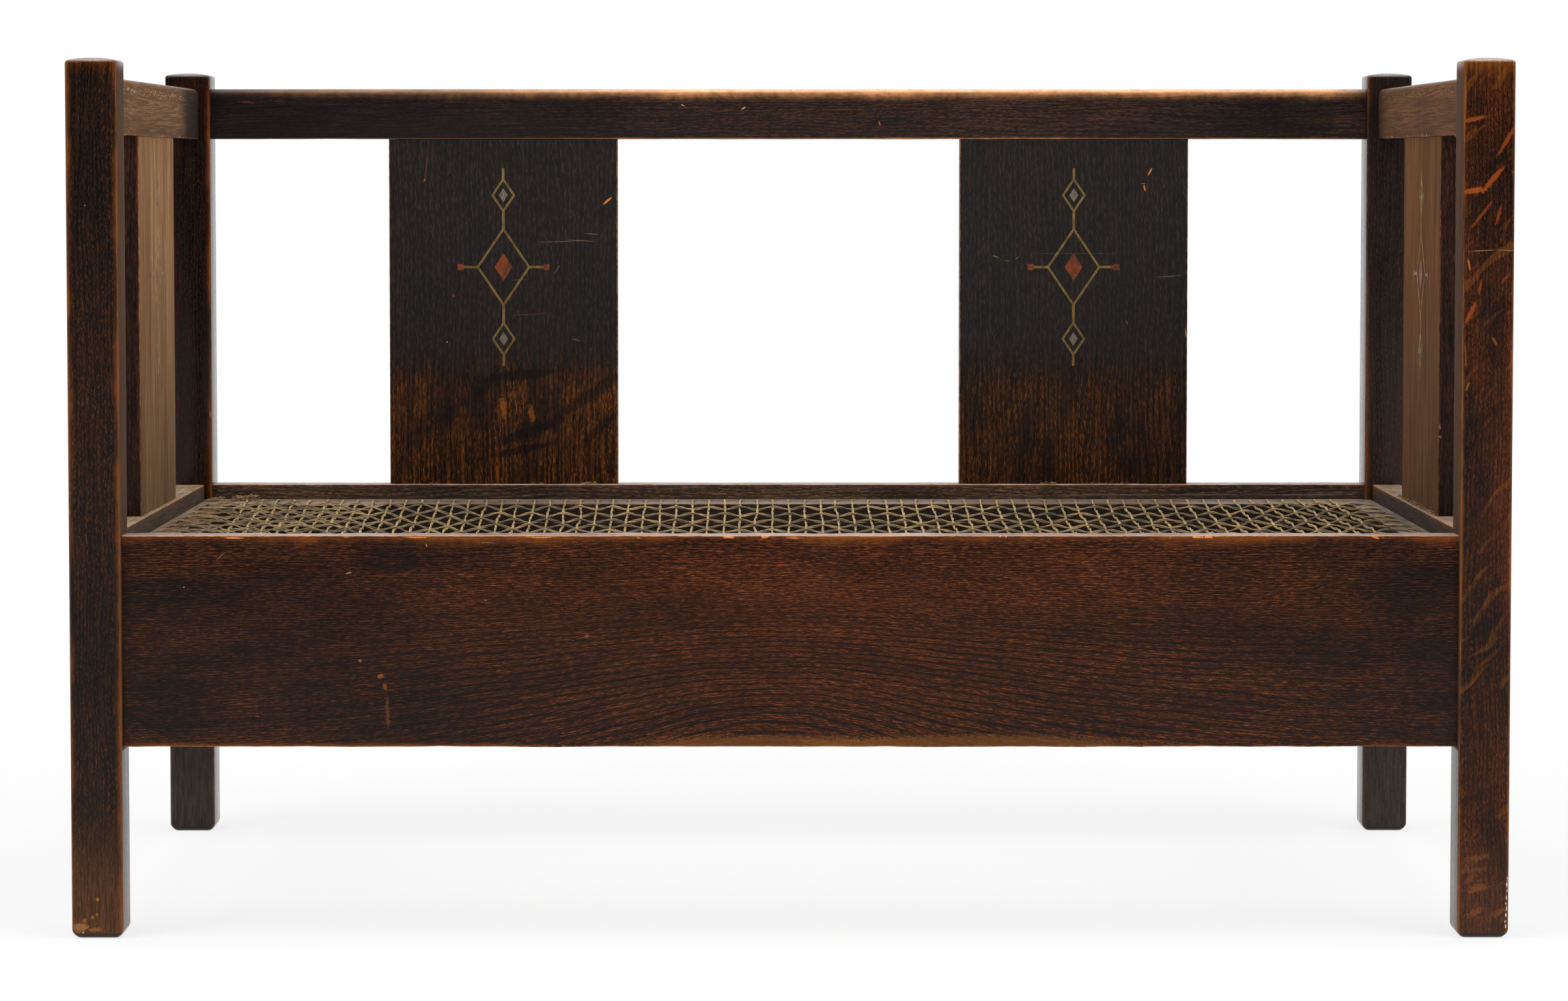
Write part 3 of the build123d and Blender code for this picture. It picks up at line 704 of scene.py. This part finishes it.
rail("left_arm", "arm_rail_left", 1, arm_round, hand_wear, 10, reach=0.004, dust=0.3, chipping=0.02,
     pale=(212, 178, 146), worn_rows=(2, 0.731, 0.741, 0.45), shade=(1, 0.13, 0.22, 0.88),
     shade_facing=(0, 1), wander=0.012, broad=0.45, inward=(1, (152, 116, 82), (88, 60, 38)))
rail("right_arm", "arm_rail_right", 1, arm_round, hand_wear, 11, reach=0.004, dust=0.3, chipping=0.0,
     pale=(170, 134, 100), worn_rows=(2, 0.732, 0.741, 0.35), shade=(1, 0.20, 0.29, 0.6),
     shade_facing=(0, -1), wander=0.012, broad=0.45, inward=(-1, (126, 86, 54), (74, 48, 27)))

# Slats: two wide boards in the back and one under each arm, housed in the rails above and
# below. The lower third of the back ones has kept less stain.
slat_pool = (0.435, 0.495, 0.22)
slat_tenon = 0.014


def finish_slat(node, seed, **finish):
    """The finish on a slat between its tenons, which are hidden in the rails."""
    low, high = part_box(node)
    low.z += slat_tenon
    high.z -= slat_tenon
    give_finish(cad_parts[node], oak(f"oak_{node}", low, high, "z", seed, **finish))


slat_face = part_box("back_slat_left")[0].y
black, fine_scratch, orange_chip = (15, 13, 12), (146, 122, 104), (226, 132, 44)
left_marks = marks_on(slat_face, [
    (-0.2302, 0.5936, -2, 0.054, 0.0007, fine_scratch, 0.5, 1.4),
    (-0.2085, 0.5945, 3, 0.032, 0.0007, fine_scratch, 0.6, 1.4),
    (-0.1974, 0.6012, 4, 0.016, 0.0008, fine_scratch, 0.6, 1.2),
    (-0.2707, 0.5551, -2, 0.018, 0.0012, (96, 86, 80), 0.5, 1.8),
    (-0.2322, 0.5659, -58, 0.012, 0.0009, (130, 110, 96), 0.5, 1.8),
    (-0.2135, 0.4951, 14, 0.010, 0.0008, (140, 124, 110), 0.6, 1.0),
    (-0.1817, 0.6343, -40, 0.0135, 0.0024, orange_chip, 0.95, 0.6),
    (-0.3629, 0.6702, -84, 0.034, 0.0009, (120, 56, 24), 0.7, 1.8),
    (-0.3648, 0.6552, -70, 0.0036, 0.0016, (190, 96, 36), 0.8, 1.0),
    (-0.3429, 0.4929, 0, 0.0014, 0.0018, (224, 196, 180), 0.85, 0.4),
    (-0.3361, 0.5395, 80, 0.0044, 0.0014, (170, 76, 30), 0.7, 1.0),
    (-0.2596, 0.5206, -4, 0.050, 0.0008, (120, 62, 28), 0.5, 2.2),
    (-0.2869, 0.4272, 84, 0.026, 0.0080, (150, 88, 24), 0.6, 2.4),
    (-0.2583, 0.4208, 80, 0.020, 0.0070, (144, 84, 24), 0.55, 2.4),
    (-0.2757, 0.4399, 86, 0.014, 0.0050, (134, 76, 22), 0.4, 2.4)])
left_marks += marks_on(slat_face, [(*row, 0.9) for row in (
    (-0.2677, 0.4600, -6, 0.085, 0.014, black, 0.75), (-0.3060, 0.4470, -52, 0.050, 0.012, black, 0.70),
    (-0.2024, 0.4380, -34, 0.100, 0.015, black, 0.62), (-0.2631, 0.4016, -20, 0.090, 0.013, black, 0.75),
    (-0.2695, 0.3841, -12, 0.080, 0.009, black, 0.70), (-0.1913, 0.4047, -42, 0.060, 0.010, black, 0.65),
    (-0.3450, 0.4130, -66, 0.050, 0.014, black, 0.50))])
right_marks = marks_on(slat_face, [
    (0.3624, 0.6637, -62, 0.0090, 0.0018, orange_chip, 0.9, 1.4),
    (0.3568, 0.6471, 78, 0.0070, 0.0020, orange_chip, 0.9, 1.2),
    (0.3553, 0.6516, 0, 0.0060, 0.0009, (170, 88, 36), 0.8, 1.6),
    (0.3769, 0.6498, 86, 0.0050, 0.0008, (130, 60, 34), 0.7, 1.0),
    (0.2082, 0.5784, 18, 0.0070, 0.0009, (178, 160, 110), 0.65, 0.8),
    (0.2195, 0.5742, 0, 0.0090, 0.0007, (120, 110, 84), 0.5, 1.4),
    (0.2293, 0.5770, -34, 0.0060, 0.0007, (150, 140, 110), 0.6, 1.2),
    (0.2859, 0.5815, 0, 0.110, 0.0007, (92, 88, 84), 0.4, 1.8),
    (0.3811, 0.5586, -4, 0.030, 0.0008, (132, 124, 108), 0.55, 1.4),
    (0.3396, 0.5127, 70, 0.0050, 0.0016, (150, 84, 40), 0.6, 1.6),
    (0.3989, 0.5021, 84, 0.0100, 0.0016, (190, 140, 90), 0.8, 1.2)])
finish_slat("back_slat_left", 12, pool=slat_pool, dashes=0.74, streaks=0.42, reach=0.0012, row=0.005,
            warm=(150, 82, 20), red=(42, 25, 10), dark=(20, 17, 15), pits=0.8, clouds=0.85, rings=0.4,
            marks=left_marks, neutral=(0.455, 0.49, (29, 28, 29)), chipping=-0.3, patchy=0.6)
finish_slat("back_slat_right", 13, pool=slat_pool, dashes=0.75, streaks=0.3, reach=0.0012, row=0.005,
            warm=(130, 74, 24), red=(36, 23, 13), dark=(21, 18, 16), pits=0.8, clouds=0.85, rings=0.4,
            marks=right_marks, neutral=(0.455, 0.49, (31, 30, 31)), chipping=-0.3, patchy=0.65)
finish_slat("side_slat_left", 14, inward=(1, (200, 154, 106), (98, 65, 37)), reach=0.003, dark=(13, 11, 9),
            hair_share=0.6, broad=0.42, shade=(2, 0.66, 0.34, 0.46))
finish_slat("side_slat_right", 15, inward=(-1, (136, 90, 46), (68, 40, 18)), reach=0.002, dark=(13, 11, 9),
            hair_share=0.5, broad=0.45, shade=(2, 0.66, 0.34, 0.26), glow=0.25)

# Inlay: thin strips and plates of brass, copper and pewter let into the face of each slat, in a
# simple figure of lines and lozenges. They have gone long unpolished and are stained brown.
def old_metal(name, bright, dull, rough):
    """A dull metal with darker stains, in which it shines less."""
    material, nodes, shader = new_material(name)
    spot = nodes.add("TexCoord").outputs["Object"]
    stain = nodes.ramp(nodes.fibre_noise(spot, (0.006, 0.006, 0.012), 4.0, 0.7), 0.35, 0.65)
    nodes.put(nodes.blend(stain, bright, dull), shader.inputs["Base Color"])
    nodes.put(nodes.ramp(stain, 0.0, 1.0, rough, rough + 0.2), shader.inputs["Roughness"])
    nodes.put(nodes.ramp(stain, 0.0, 1.0, 0.8, 0.45), shader.inputs["Metallic"])
    bump = nodes.add("Bump", {"Height": nodes.fibre_noise(spot, 0.0012, 2.0), "Strength": 0.2,
                              "Distance": 0.0003})
    nodes.put(bump.outputs[0], shader.inputs["Normal"])
    return material


inlay_metals = {
    "brass": old_metal("aged_brass", (158, 128, 70), (104, 82, 42), 0.5),
    "copper": old_metal("aged_copper", (158, 82, 48), (100, 50, 30), 0.5),
    "pewter": old_metal("aged_pewter", (144, 132, 114), (98, 90, 78), 0.5),
}
for slat in ("back_slat_left", "back_slat_right", "side_slat_left", "side_slat_right"):
    for metal, material in inlay_metals.items():
        give_finish(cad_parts[f"inlay_{metal}_{slat}"], material)

# Cleats: strips of plain wood, never stained, screwed to the inside of the four seat rails. The loose seat
# lies on them. Their dark tone is painted shade, for they lie under the seat.
lengthwise = {"front": "x", "back": "x", "left": "y", "right": "y"}
for side, along in lengthwise.items():
    node = f"cleat_{side}"
    give_finish(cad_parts[node], oak(
        f"plain_{node}", *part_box(node), along, 16, dark=(40, 30, 22), warm=(66, 46, 30), red=(52, 38, 26),
        bare=(80, 56, 36), reach=0.002, dust=0.2))

# Screws: slotted countersunk wood screws of steel gone brown, driven level through the cleats
# into the seat rails
give_finish(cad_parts["cleat_screws"], old_metal("brown_steel", (110, 104, 98), (70, 50, 38), 0.45))

# Loose seat: a frame of four plain boards, never stained, drilled for the cord. Its top is dusty, its sides
# are painted dark as painted shade under the web, and each hole has a dark ring round it.
seat_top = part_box("seat_frame_back")[1].z
frame_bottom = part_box("seat_frame_back")[0].z
side_hole_inset, front_hole_inset = 0.010, 0.030
hole_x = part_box("seat_frame_right")[1].x - side_hole_inset
hole_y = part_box("seat_frame_back")[1].y - front_hole_inset
long_count, long_pitch = 9, 0.0512
cross_count, cross_pitch = 69, 0.015875

nodes, given, close = start_effect("hole_stain", ["Point", "Half Size"], ["Line", "Pitch"], ["Stain"])
spot_in, sizes_in = nodes.parts(given["Point"]), nodes.parts(given["Half Size"])
half_pitch = nodes.times(given["Pitch"], 0.5)
along_row = nodes.math("WRAP", spot_in["X"], half_pitch, nodes.times(half_pitch, -1.0))
off_row = nodes.minus(nodes.math("ABSOLUTE", spot_in["Y"]), given["Line"])
shares = [nodes.math("POWER", nodes.math("DIVIDE", way, sizes_in[label]), 2.0)
          for way, label in ((along_row, "X"), (off_row, "Y"))]
away = nodes.math("SQRT", nodes.plus(*shares))
away = nodes.plus(away, nodes.swing(nodes.fibre_noise(given["Point"], 0.006), 1.6))
hole_stain = close(nodes.ramp(away, 1.15, 0.55))
stain_tone, stain_depth = (52, 42, 36), 0.75
cross_stain, long_stain = (0.0046, 0.0060, 1.0), (0.010, 0.0052, 1.0)

for side, along in lengthwise.items():
    node = f"seat_frame_{side}"
    top_tone = (164, 138, 106) if side == "left" else (142, 124, 108)
    # The dark tone, which shows on the frame's sides, is painted shade under the web; the top is dusty.
    finish = oak(f"seat_{node}", *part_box(node), along, 17, dark=(30, 25, 21), warm=(50, 38, 29),
                 red=(40, 31, 25), bare=(96, 62, 36), reach=0.0015, dust=0.95, dusty=top_tone, glow=0.4,
                 chipping=-0.3)
    give_finish(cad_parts[node], finish)
    nodes = Nodes(finish.node_tree)
    place = nodes.add("TexCoord").outputs["Object"]
    holes = {"Point": place, "Line": hole_y + 0.002, "Pitch": cross_pitch, "Half Size": cross_stain}
    if along == "y":
        turned = nodes.add("Mapping", {"Vector": place, "Rotation": (0, 0, math.pi / 2)}).outputs[0]
        holes = {"Point": turned, "Line": hole_x, "Pitch": long_pitch, "Half Size": long_stain}
    stain = nodes.times(nodes.use(hole_stain, holes)["Stain"], stain_depth)
    base_colour = finish.node_tree.nodes["Principled BSDF"].inputs["Base Color"]
    nodes.put(nodes.blend(stain, base_colour.links[0].from_socket, stain_tone), base_colour)

# Woven seat: doubled cord laced through the holes of the seat frame, nine runs from side to side
# and sixty-nine from front to back, over and under each other. It has sagged and drifted with use.
strand_radius = 0.00064
strand_apart = 0.00062
slack_wave, tight_wave, cross_wave = 0.0018, 0.0013, 0.0012
long_lay, cross_lay = 0.040, 0.090
cord_level, under_frame = seat_top + 0.0014, frame_bottom - 0.0014
cross_steps, long_steps, frayed_steps = 160, 440, 70
deepest_sag = 0.0094
crowding_left, crowding_right = 0.078, 0.02
cross_stray, long_stray, pinch_reach = 0.0022, 0.0028, 0.016
parting, pair_opening = 0.0125, 0.0060
fray_end, fray_aside, fray_wander, fray_lift = -0.405, 0.006, 0.010, 0.0016
loose_end_at, loose_end_size, loose_end_points = (0.553, -0.138), (0.018, 0.040), 24


def soft_step(low, high, value):
    """From 0 at low to 1 at high, with soft ends."""
    t = min(1.0, max(0.0, (value - low) / (high - low)))
    return t * t * (3 - 2 * t)


def long_line(j):
    """Long run j's y, counted from the front."""
    return (j - (long_count - 1) / 2) * long_pitch


def cross_line(i):
    """Cross run i's x, counted from the left."""
    return (i - (cross_count - 1) / 2) * cross_pitch


def drift(i, y):
    """How far cross run i has moved sideways at y: the front ends crowd towards the middle."""
    x = cross_line(i)
    pull = crowding_left * min(0.0, x + 0.03) if x < 0 else crowding_right * x
    share = (hole_y - y) / (2 * hole_y)
    wander = cross_stray * noise.noise(Vector((i * 7.31, y * 7.0, 3.0)))
    return -pull * share * soft_step(-hole_y, -hole_y + 0.06, y) + wander


def sag(x, y):
    """The web hangs lowest from a third along to near the right end."""
    middle = soft_step(-0.44, -0.26, x) * (1 - soft_step(0.38, 0.54, x))
    return deepest_sag * middle * max(0.0, 1 - (y / hole_y) ** 2)


# Where a long run has been pulled sideways: the run, the place along it, and how far
pinches = {(6, 0.128): -0.013, (5, 0.150): 0.012, (7, 0.137): -0.010, (4, 0.120): 0.008, (3, 0.160): -0.006}


def long_wander(j, x):
    """How far long run j has moved sideways at x."""
    y = long_stray * noise.noise(Vector((x * 6.0, j * 5.17, 9.0)))
    for (row, where), reach in pinches.items():
        if row == j:
            y += reach * math.exp(-((x - where) / pinch_reach) ** 2)
    return y


def strands(points, sideways, spread, turn, lay_length):
    """Two strands that wind slowly round each other along a run of points."""
    lines = ([], [])
    travelled = 0.0
    for k, point in enumerate(points):
        if k:
            travelled += (point - points[k - 1]).length
        angle = 2 * math.pi * travelled / lay_length + turn
        apart = spread(point)
        round_it = Vector((0, 0, math.sin(angle) * strand_apart))
        round_it += sideways * (math.cos(angle) * strand_apart)
        for line, way in zip(lines, (-1, 1)):
            line.append(point + way * (round_it + sideways * apart))
    return lines


def add_cords(name, runs, material, *replaced, body="loose_seat"):
    """Makes one piece of a group of strands, as thin round curves turned into a mesh."""
    curve = bpy.data.curves.new(name, "CURVE")
    curve.dimensions = "3D"
    curve.bevel_depth = 1.0
    curve.bevel_resolution = 1
    curve.use_fill_caps = True
    for line, radius in runs:
        spline = curve.splines.new("POLY")
        spline.points.add(len(line) - 1)
        for point, spot in zip(spline.points, line):
            point.co = (*spot, 1.0)
            point.radius = radius
    piece = bpy.data.objects.new(name, curve)
    bpy.context.scene.collection.objects.link(piece)
    bpy.ops.object.select_all(action="DESELECT")
    piece.select_set(True)
    bpy.context.view_layer.objects.active = piece
    bpy.ops.object.convert(target="MESH")
    piece = bpy.context.object
    give_finish(piece, material)
    bpy.ops.object.shade_smooth()
    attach(piece, body)
    if replaced:
        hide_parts(*replaced)


def cord_finish(name, size, pale, mid, dark, odd):
    """Twisted vegetable cord: straw, olive and grey strands with dirt between the fibres."""
    material, nodes, shader = new_material(name)
    spot = nodes.add("TexCoord").outputs["Object"]
    patch = nodes.ramp(nodes.fibre_noise(spot, (0.03, 0.03, 0.01)), 0.35, 0.65)
    fibre = nodes.ramp(nodes.fibre_noise(spot, size, 2.0), 0.4, 0.65)
    elsewhere = nodes.vector("ADD", spot, (5.0, 4.0, 3.0))
    stretch = nodes.fibre_noise(elsewhere, (0.045, 0.012, 0.012), 2.0)
    colour = nodes.blend(patch, pale, mid)
    colour = nodes.blend(nodes.ramp(stretch, 0.50, 0.60, 0.0, 0.6), colour, odd)
    colour = nodes.blend(nodes.times(fibre, 0.55), colour, dark)
    nodes.put(colour, shader.inputs["Base Color"])
    nodes.put(0.7, shader.inputs["Roughness"])
    bump = nodes.add("Bump", {"Height": fibre, "Strength": 0.5, "Distance": 0.0004})
    nodes.put(bump.outputs[0], shader.inputs["Normal"])
    return material


long_cord = cord_finish("long_cord", (0.010, 0.0008, 0.0008), (190, 158, 108), (122, 102, 72), (46, 39, 31),
                        (88, 84, 68))
cross_cord = cord_finish("cross_cord", (0.0008, 0.010, 0.0008), (214, 180, 118), (158, 134, 88), (80, 66, 44),
                         (146, 124, 80))


def out_of_hole(x, y, inward):
    """A cord's way up its hole and over the lip, towards the web."""
    steps = ((0, frame_bottom + 0.002), (0, seat_top - 0.002), (0.0008, seat_top + 0.0006),
             (0.003, cord_level))
    return [Vector((x + inward[0] * away, y + inward[1] * away, z)) for away, z in steps]


def cross_path(i):
    """Cross run i, from under the back member, over the web and down under the front one."""
    x = cross_line(i)
    back_way = 1 if i % 2 else -1
    path = [Vector((x + back_way * away, hole_y, under_frame)) for away in (cross_pitch / 2, 0.002)]
    path += out_of_hole(x, hole_y, (0, -1))
    last_long = long_line(long_count - 1)
    reach = hole_y - 0.006
    for k in range(cross_steps + 1):
        y = reach * (1 - 2 * k / cross_steps)
        wave = math.cos(math.pi * (y - long_line(0)) / long_pitch)
        wave *= cross_wave * -back_way
        wave *= 1 - soft_step(last_long + 0.004, last_long + 0.03, abs(y))
        path.append(Vector((x + drift(i, y), y, cord_level + wave - sag(x, y))))
    path += out_of_hole(x, -hole_y, (0, 1))[::-1]
    path += [Vector((x - back_way * away, -hole_y, under_frame)) for away in (0.002, cross_pitch / 2)]
    return path


def long_path(j):
    """Long run j, from hole to hole. Its waves follow where the cross runs really are."""
    y = long_line(j)
    crossings = [cross_line(i) + drift(i, y) for i in range(cross_count)]
    path = out_of_hole(-hole_x, y, (1, 0))
    reach = hole_x - 0.006
    i = 0
    for k in range(long_steps + 1):
        x = reach * (2 * k / long_steps - 1)
        while i < cross_count - 2 and x > crossings[i + 1]:
            i += 1
        phase = i + (x - crossings[i]) / (crossings[i + 1] - crossings[i])
        slack = soft_step(-0.14, -0.26, x) + soft_step(0.36, 0.46, x)
        height = tight_wave + (slack_wave - tight_wave) * slack
        height *= 1 + 0.35 * noise.noise(Vector((phase * 0.9, j * 3.3, 5.0)))
        wave = -height * math.cos(math.pi * phase) * (1 if j % 2 == 0 else -1)
        wave *= 1 - soft_step(0.535, 0.56, abs(x))
        side = long_wander(j, x) * (1 - soft_step(0.50, 0.56, abs(x)))
        path.append(Vector((x, y + side, cord_level + wave - sag(x, y))))
    return path + out_of_hole(hole_x, y, (-1, 0))[::-1]


def splay(point):
    """The doubled strands of the long runs part towards the left end, and open and close there."""
    parted = parting * soft_step(-0.37, -0.47, point.x) * soft_step(-0.576, -0.560, point.x)
    open_pairs = pair_opening * soft_step(-0.26, -0.36, point.x) * soft_step(-0.57, -0.55, point.x)
    return parted + open_pairs * noise.noise(Vector((point.x * 32, point.y * 9.0, 2.0)))


def frayed_path(j, strand):
    """A loose strand of long run j that weaves from its left hole to where it joins the cord again."""
    start, way = 11.0 * j + 4.7 * strand, 1 - 2 * strand
    end = fray_end + 0.03 * noise.noise(Vector((start, 1.0, 2.0)))
    path = []
    for k in range(frayed_steps + 1):
        share = k / frayed_steps
        x = -hole_x + 0.001 + share * (end + hole_x)
        away = soft_step(0.0, 0.12, share) * soft_step(1.0, 0.75, share)
        y = long_line(j) + away * (way * fray_aside + fray_wander * noise.noise(Vector((x * 26, start, 0.0))))
        lift = fray_lift * noise.noise(Vector((x * 60, start, 5.0)))
        rejoined = 0.0012 * soft_step(0.9, 1.0, share)
        path.append(Vector((x, y, cord_level + lift * away - sag(x, y) - rejoined)))
    return path


def loose_end():
    """A broken end of cord that lies curved on the seat frame's front right corner."""
    path = []
    for k in range(loose_end_points):
        turn = math.radians(-75 + 150 * k / (loose_end_points - 1))
        x, y = (at + size * way for at, size, way in zip(
            loose_end_at, loose_end_size, (math.cos(turn), math.sin(turn))))
        path.append(Vector((x, y, cord_level)))
    return path


loose_strand, half_count = 0.85, 35
long_runs = []
for j in range(long_count):
    for line in strands(long_path(j), Vector((0, 1, 0)), splay, j * 1.9, long_lay):
        long_runs.append((line, strand_radius))
    for strand in range(2):
        long_runs.append((frayed_path(j, strand), strand_radius * loose_strand))
long_runs.append((loose_end(), strand_radius))
add_cords("webbing_long_runs", long_runs, long_cord, "seat_webbing")
for part, runs in (("left", range(0, half_count)), ("right", range(half_count, cross_count))):
    cross_runs = []
    for i in runs:
        for line in strands(cross_path(i), Vector((1, 0, 0)), lambda point: 0.0, i * 2.3, cross_lay):
            cross_runs.append((line, strand_radius))
    add_cords(f"webbing_cross_runs_{part}", cross_runs, cross_cord)

# A few bits of straw and cord fibre that have dropped on the seat frame and the rails, in the
# corners and along the edges where a brush doesn't reach
straw_thick = 0.00021


def bits_of_straw(heaps, seed):
    """A heap is its first and last point, its width, how high it piles, how many bits it has, and
    how long they are."""
    draw = random.Random(seed)
    lines = []
    for first, last, width, height, count, length in heaps:
        first, last = Vector(first), Vector(last)
        run = last - first
        side = Vector((-run.y, run.x, 0)).normalized()
        for _ in range(count):
            spot = first + run * draw.random() + side * (draw.random() - 0.5) * width
            turn = draw.uniform(0, 2 * math.pi)
            size = length * draw.uniform(0.4, 1.0)
            base = height * draw.random() ** 2
            tip = base + height * draw.uniform(0.0, 0.35)
            curl = draw.uniform(-0.6, 0.6)
            line = []
            for k in range(4):
                step = k / 3 - 0.5
                angle = turn + curl * step
                lift = base + (tip - base) * k / 3
                way = Vector((math.cos(angle), math.sin(angle), 0))
                line.append(spot + way * step * size + Vector((0, 0, lift)))
            lines.append((line, straw_thick * draw.uniform(0.7, 1.3)))
    return lines


straw = cord_finish("loose_straw", (0.004, 0.004, 0.004), (176, 140, 98), (142, 108, 74), (86, 64, 44),
                    (120, 100, 70))
on_seat = seat_top + straw_thick
add_cords("straw_on_seat", bits_of_straw([
    ((-0.568, -0.215, on_seat), (-0.559, 0.255, on_seat), 0.011, 0.0020, 800, 0.006),
    ((-0.579, 0.258, on_seat), (-0.564, 0.273, on_seat), 0.010, 0.0034, 120, 0.006),
    ((-0.556, 0.270, on_seat), (-0.531, 0.274, on_seat), 0.011, 0.0052, 190, 0.007),
    ((-0.530, 0.268, on_seat), (-0.450, 0.274, on_seat), 0.010, 0.0008, 26, 0.007),
    ((0.545, -0.150, on_seat), (0.556, -0.120, on_seat), 0.006, 0.0008, 8, 0.008),
], 7), straw)
rail_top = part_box("seat_rail_back")[1].z + straw_thick
slat_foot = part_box("side_slat_right")[0].x - 0.0016
add_cords("straw_on_rails", bits_of_straw([
    ((slat_foot, -0.110, rail_top), (slat_foot, 0.125, rail_top), 0.0022, 0.0028, 220, 0.0035),
    ((-0.366, 0.2945, rail_top), (-0.350, 0.2945, rail_top), 0.003, 0.0012, 8, 0.005),
    ((-0.207, 0.2900, rail_top), (-0.192, 0.2900, rail_top), 0.004, 0.0026, 40, 0.005),
    ((-0.262, 0.2900, rail_top), (-0.246, 0.2900, rail_top), 0.004, 0.0014, 16, 0.005),
    ((0.254, 0.2900, rail_top), (0.268, 0.2900, rail_top), 0.004, 0.0022, 30, 0.005),
    ((0.292, 0.2900, rail_top), (0.344, 0.2900, rail_top), 0.004, 0.0014, 40, 0.005),
], 11), straw, body="settle_frame")

# The floor is a plain pale sheet that runs out to white. A broad soft lamp hangs above, two
# smaller ones stand high at the front corners, and the white room is dark behind the camera.
floor_size, floor_tone = 30, (0.9, 0.9, 0.9, 1)
floor_reach = (0.9, 2.2)
floor_own_light = 0.78
bpy.ops.object.select_all(action="DESELECT")
bpy.ops.mesh.primitive_plane_add(size=floor_size, location=(0, 0, 0))
floor = bpy.context.object
floor.name = "pale_floor"
floor_paint, nodes, shader = new_material("pale_floor")
nodes.put(floor_tone, shader.inputs["Base Color"])
nodes.put(0.9, shader.inputs["Roughness"])
nodes.put(0.0, shader.inputs["Specular IOR Level"])
rays = nodes.add("LightPath").outputs
mirrored = nodes.math("MAXIMUM", rays["Is Glossy Ray"], rays["Is Transmission Ray"])
seen = nodes.math("MAXIMUM", rays["Is Camera Ray"], mirrored)
away = nodes.length(nodes.add("TexCoord").outputs["Object"])
own_light = nodes.ramp(away, *floor_reach, floor_own_light, 1.0)
white = nodes.add("Emission", {"Color": (1, 1, 1, 1), "Strength": 1.0}).outputs[0]
mixed = nodes.add("MixShader", {0: nodes.times(seen, own_light), 1: shader.outputs[0], 2: white})
nodes.put(mixed.outputs[0], floor_paint.node_tree.nodes["Material Output"].inputs["Surface"])
floor.data.materials.append(floor_paint)

room_light = 0.52
dark_behind_camera = 0.08
world = bpy.data.worlds.new("white_room")
bpy.context.scene.world = world
world.use_nodes = True
nodes, background = Nodes(world.node_tree), world.node_tree.nodes["Background"]
rays = nodes.add("LightPath").outputs
toward = nodes.parts(nodes.add("TexCoord").outputs["Generated"])["Y"]
mirrored = nodes.math("MAXIMUM", rays["Is Glossy Ray"], rays["Is Transmission Ray"])
room = nodes.ramp(toward, -0.6, 0.2, dark_behind_camera, 1.0)
level = nodes.plus(room_light, nodes.times(mirrored, nodes.minus(room, room_light)))
nodes.put(nodes.math("MAXIMUM", level, rays["Is Camera Ray"]), background.inputs["Strength"])
nodes.put((1, 1, 1, 1), background.inputs["Color"])


def soft_lamp(name, place, aim, size, power):
    """A flat soft lamp at a place, turned towards another."""
    bpy.ops.object.light_add(type="AREA", location=place)
    lamp = bpy.context.object
    lamp.name = name
    lamp.data.shape = "RECTANGLE"
    lamp.data.size, lamp.data.size_y = size
    lamp.data.energy = power
    lamp.rotation_euler = (Vector(aim) - Vector(place)).to_track_quat("-Z", "Y").to_euler()


soft_lamp("lamp_above", (0, -0.3, 3.0), (0, 0, 0.3), (2.6, 1.6), 60)
for side, x in (("left", -2.6), ("right", 2.6)):
    soft_lamp(f"lamp_front_{side}", (x, -2.0, 3.0), (0, 0, 0.4), (1.6, 1.6), 34)
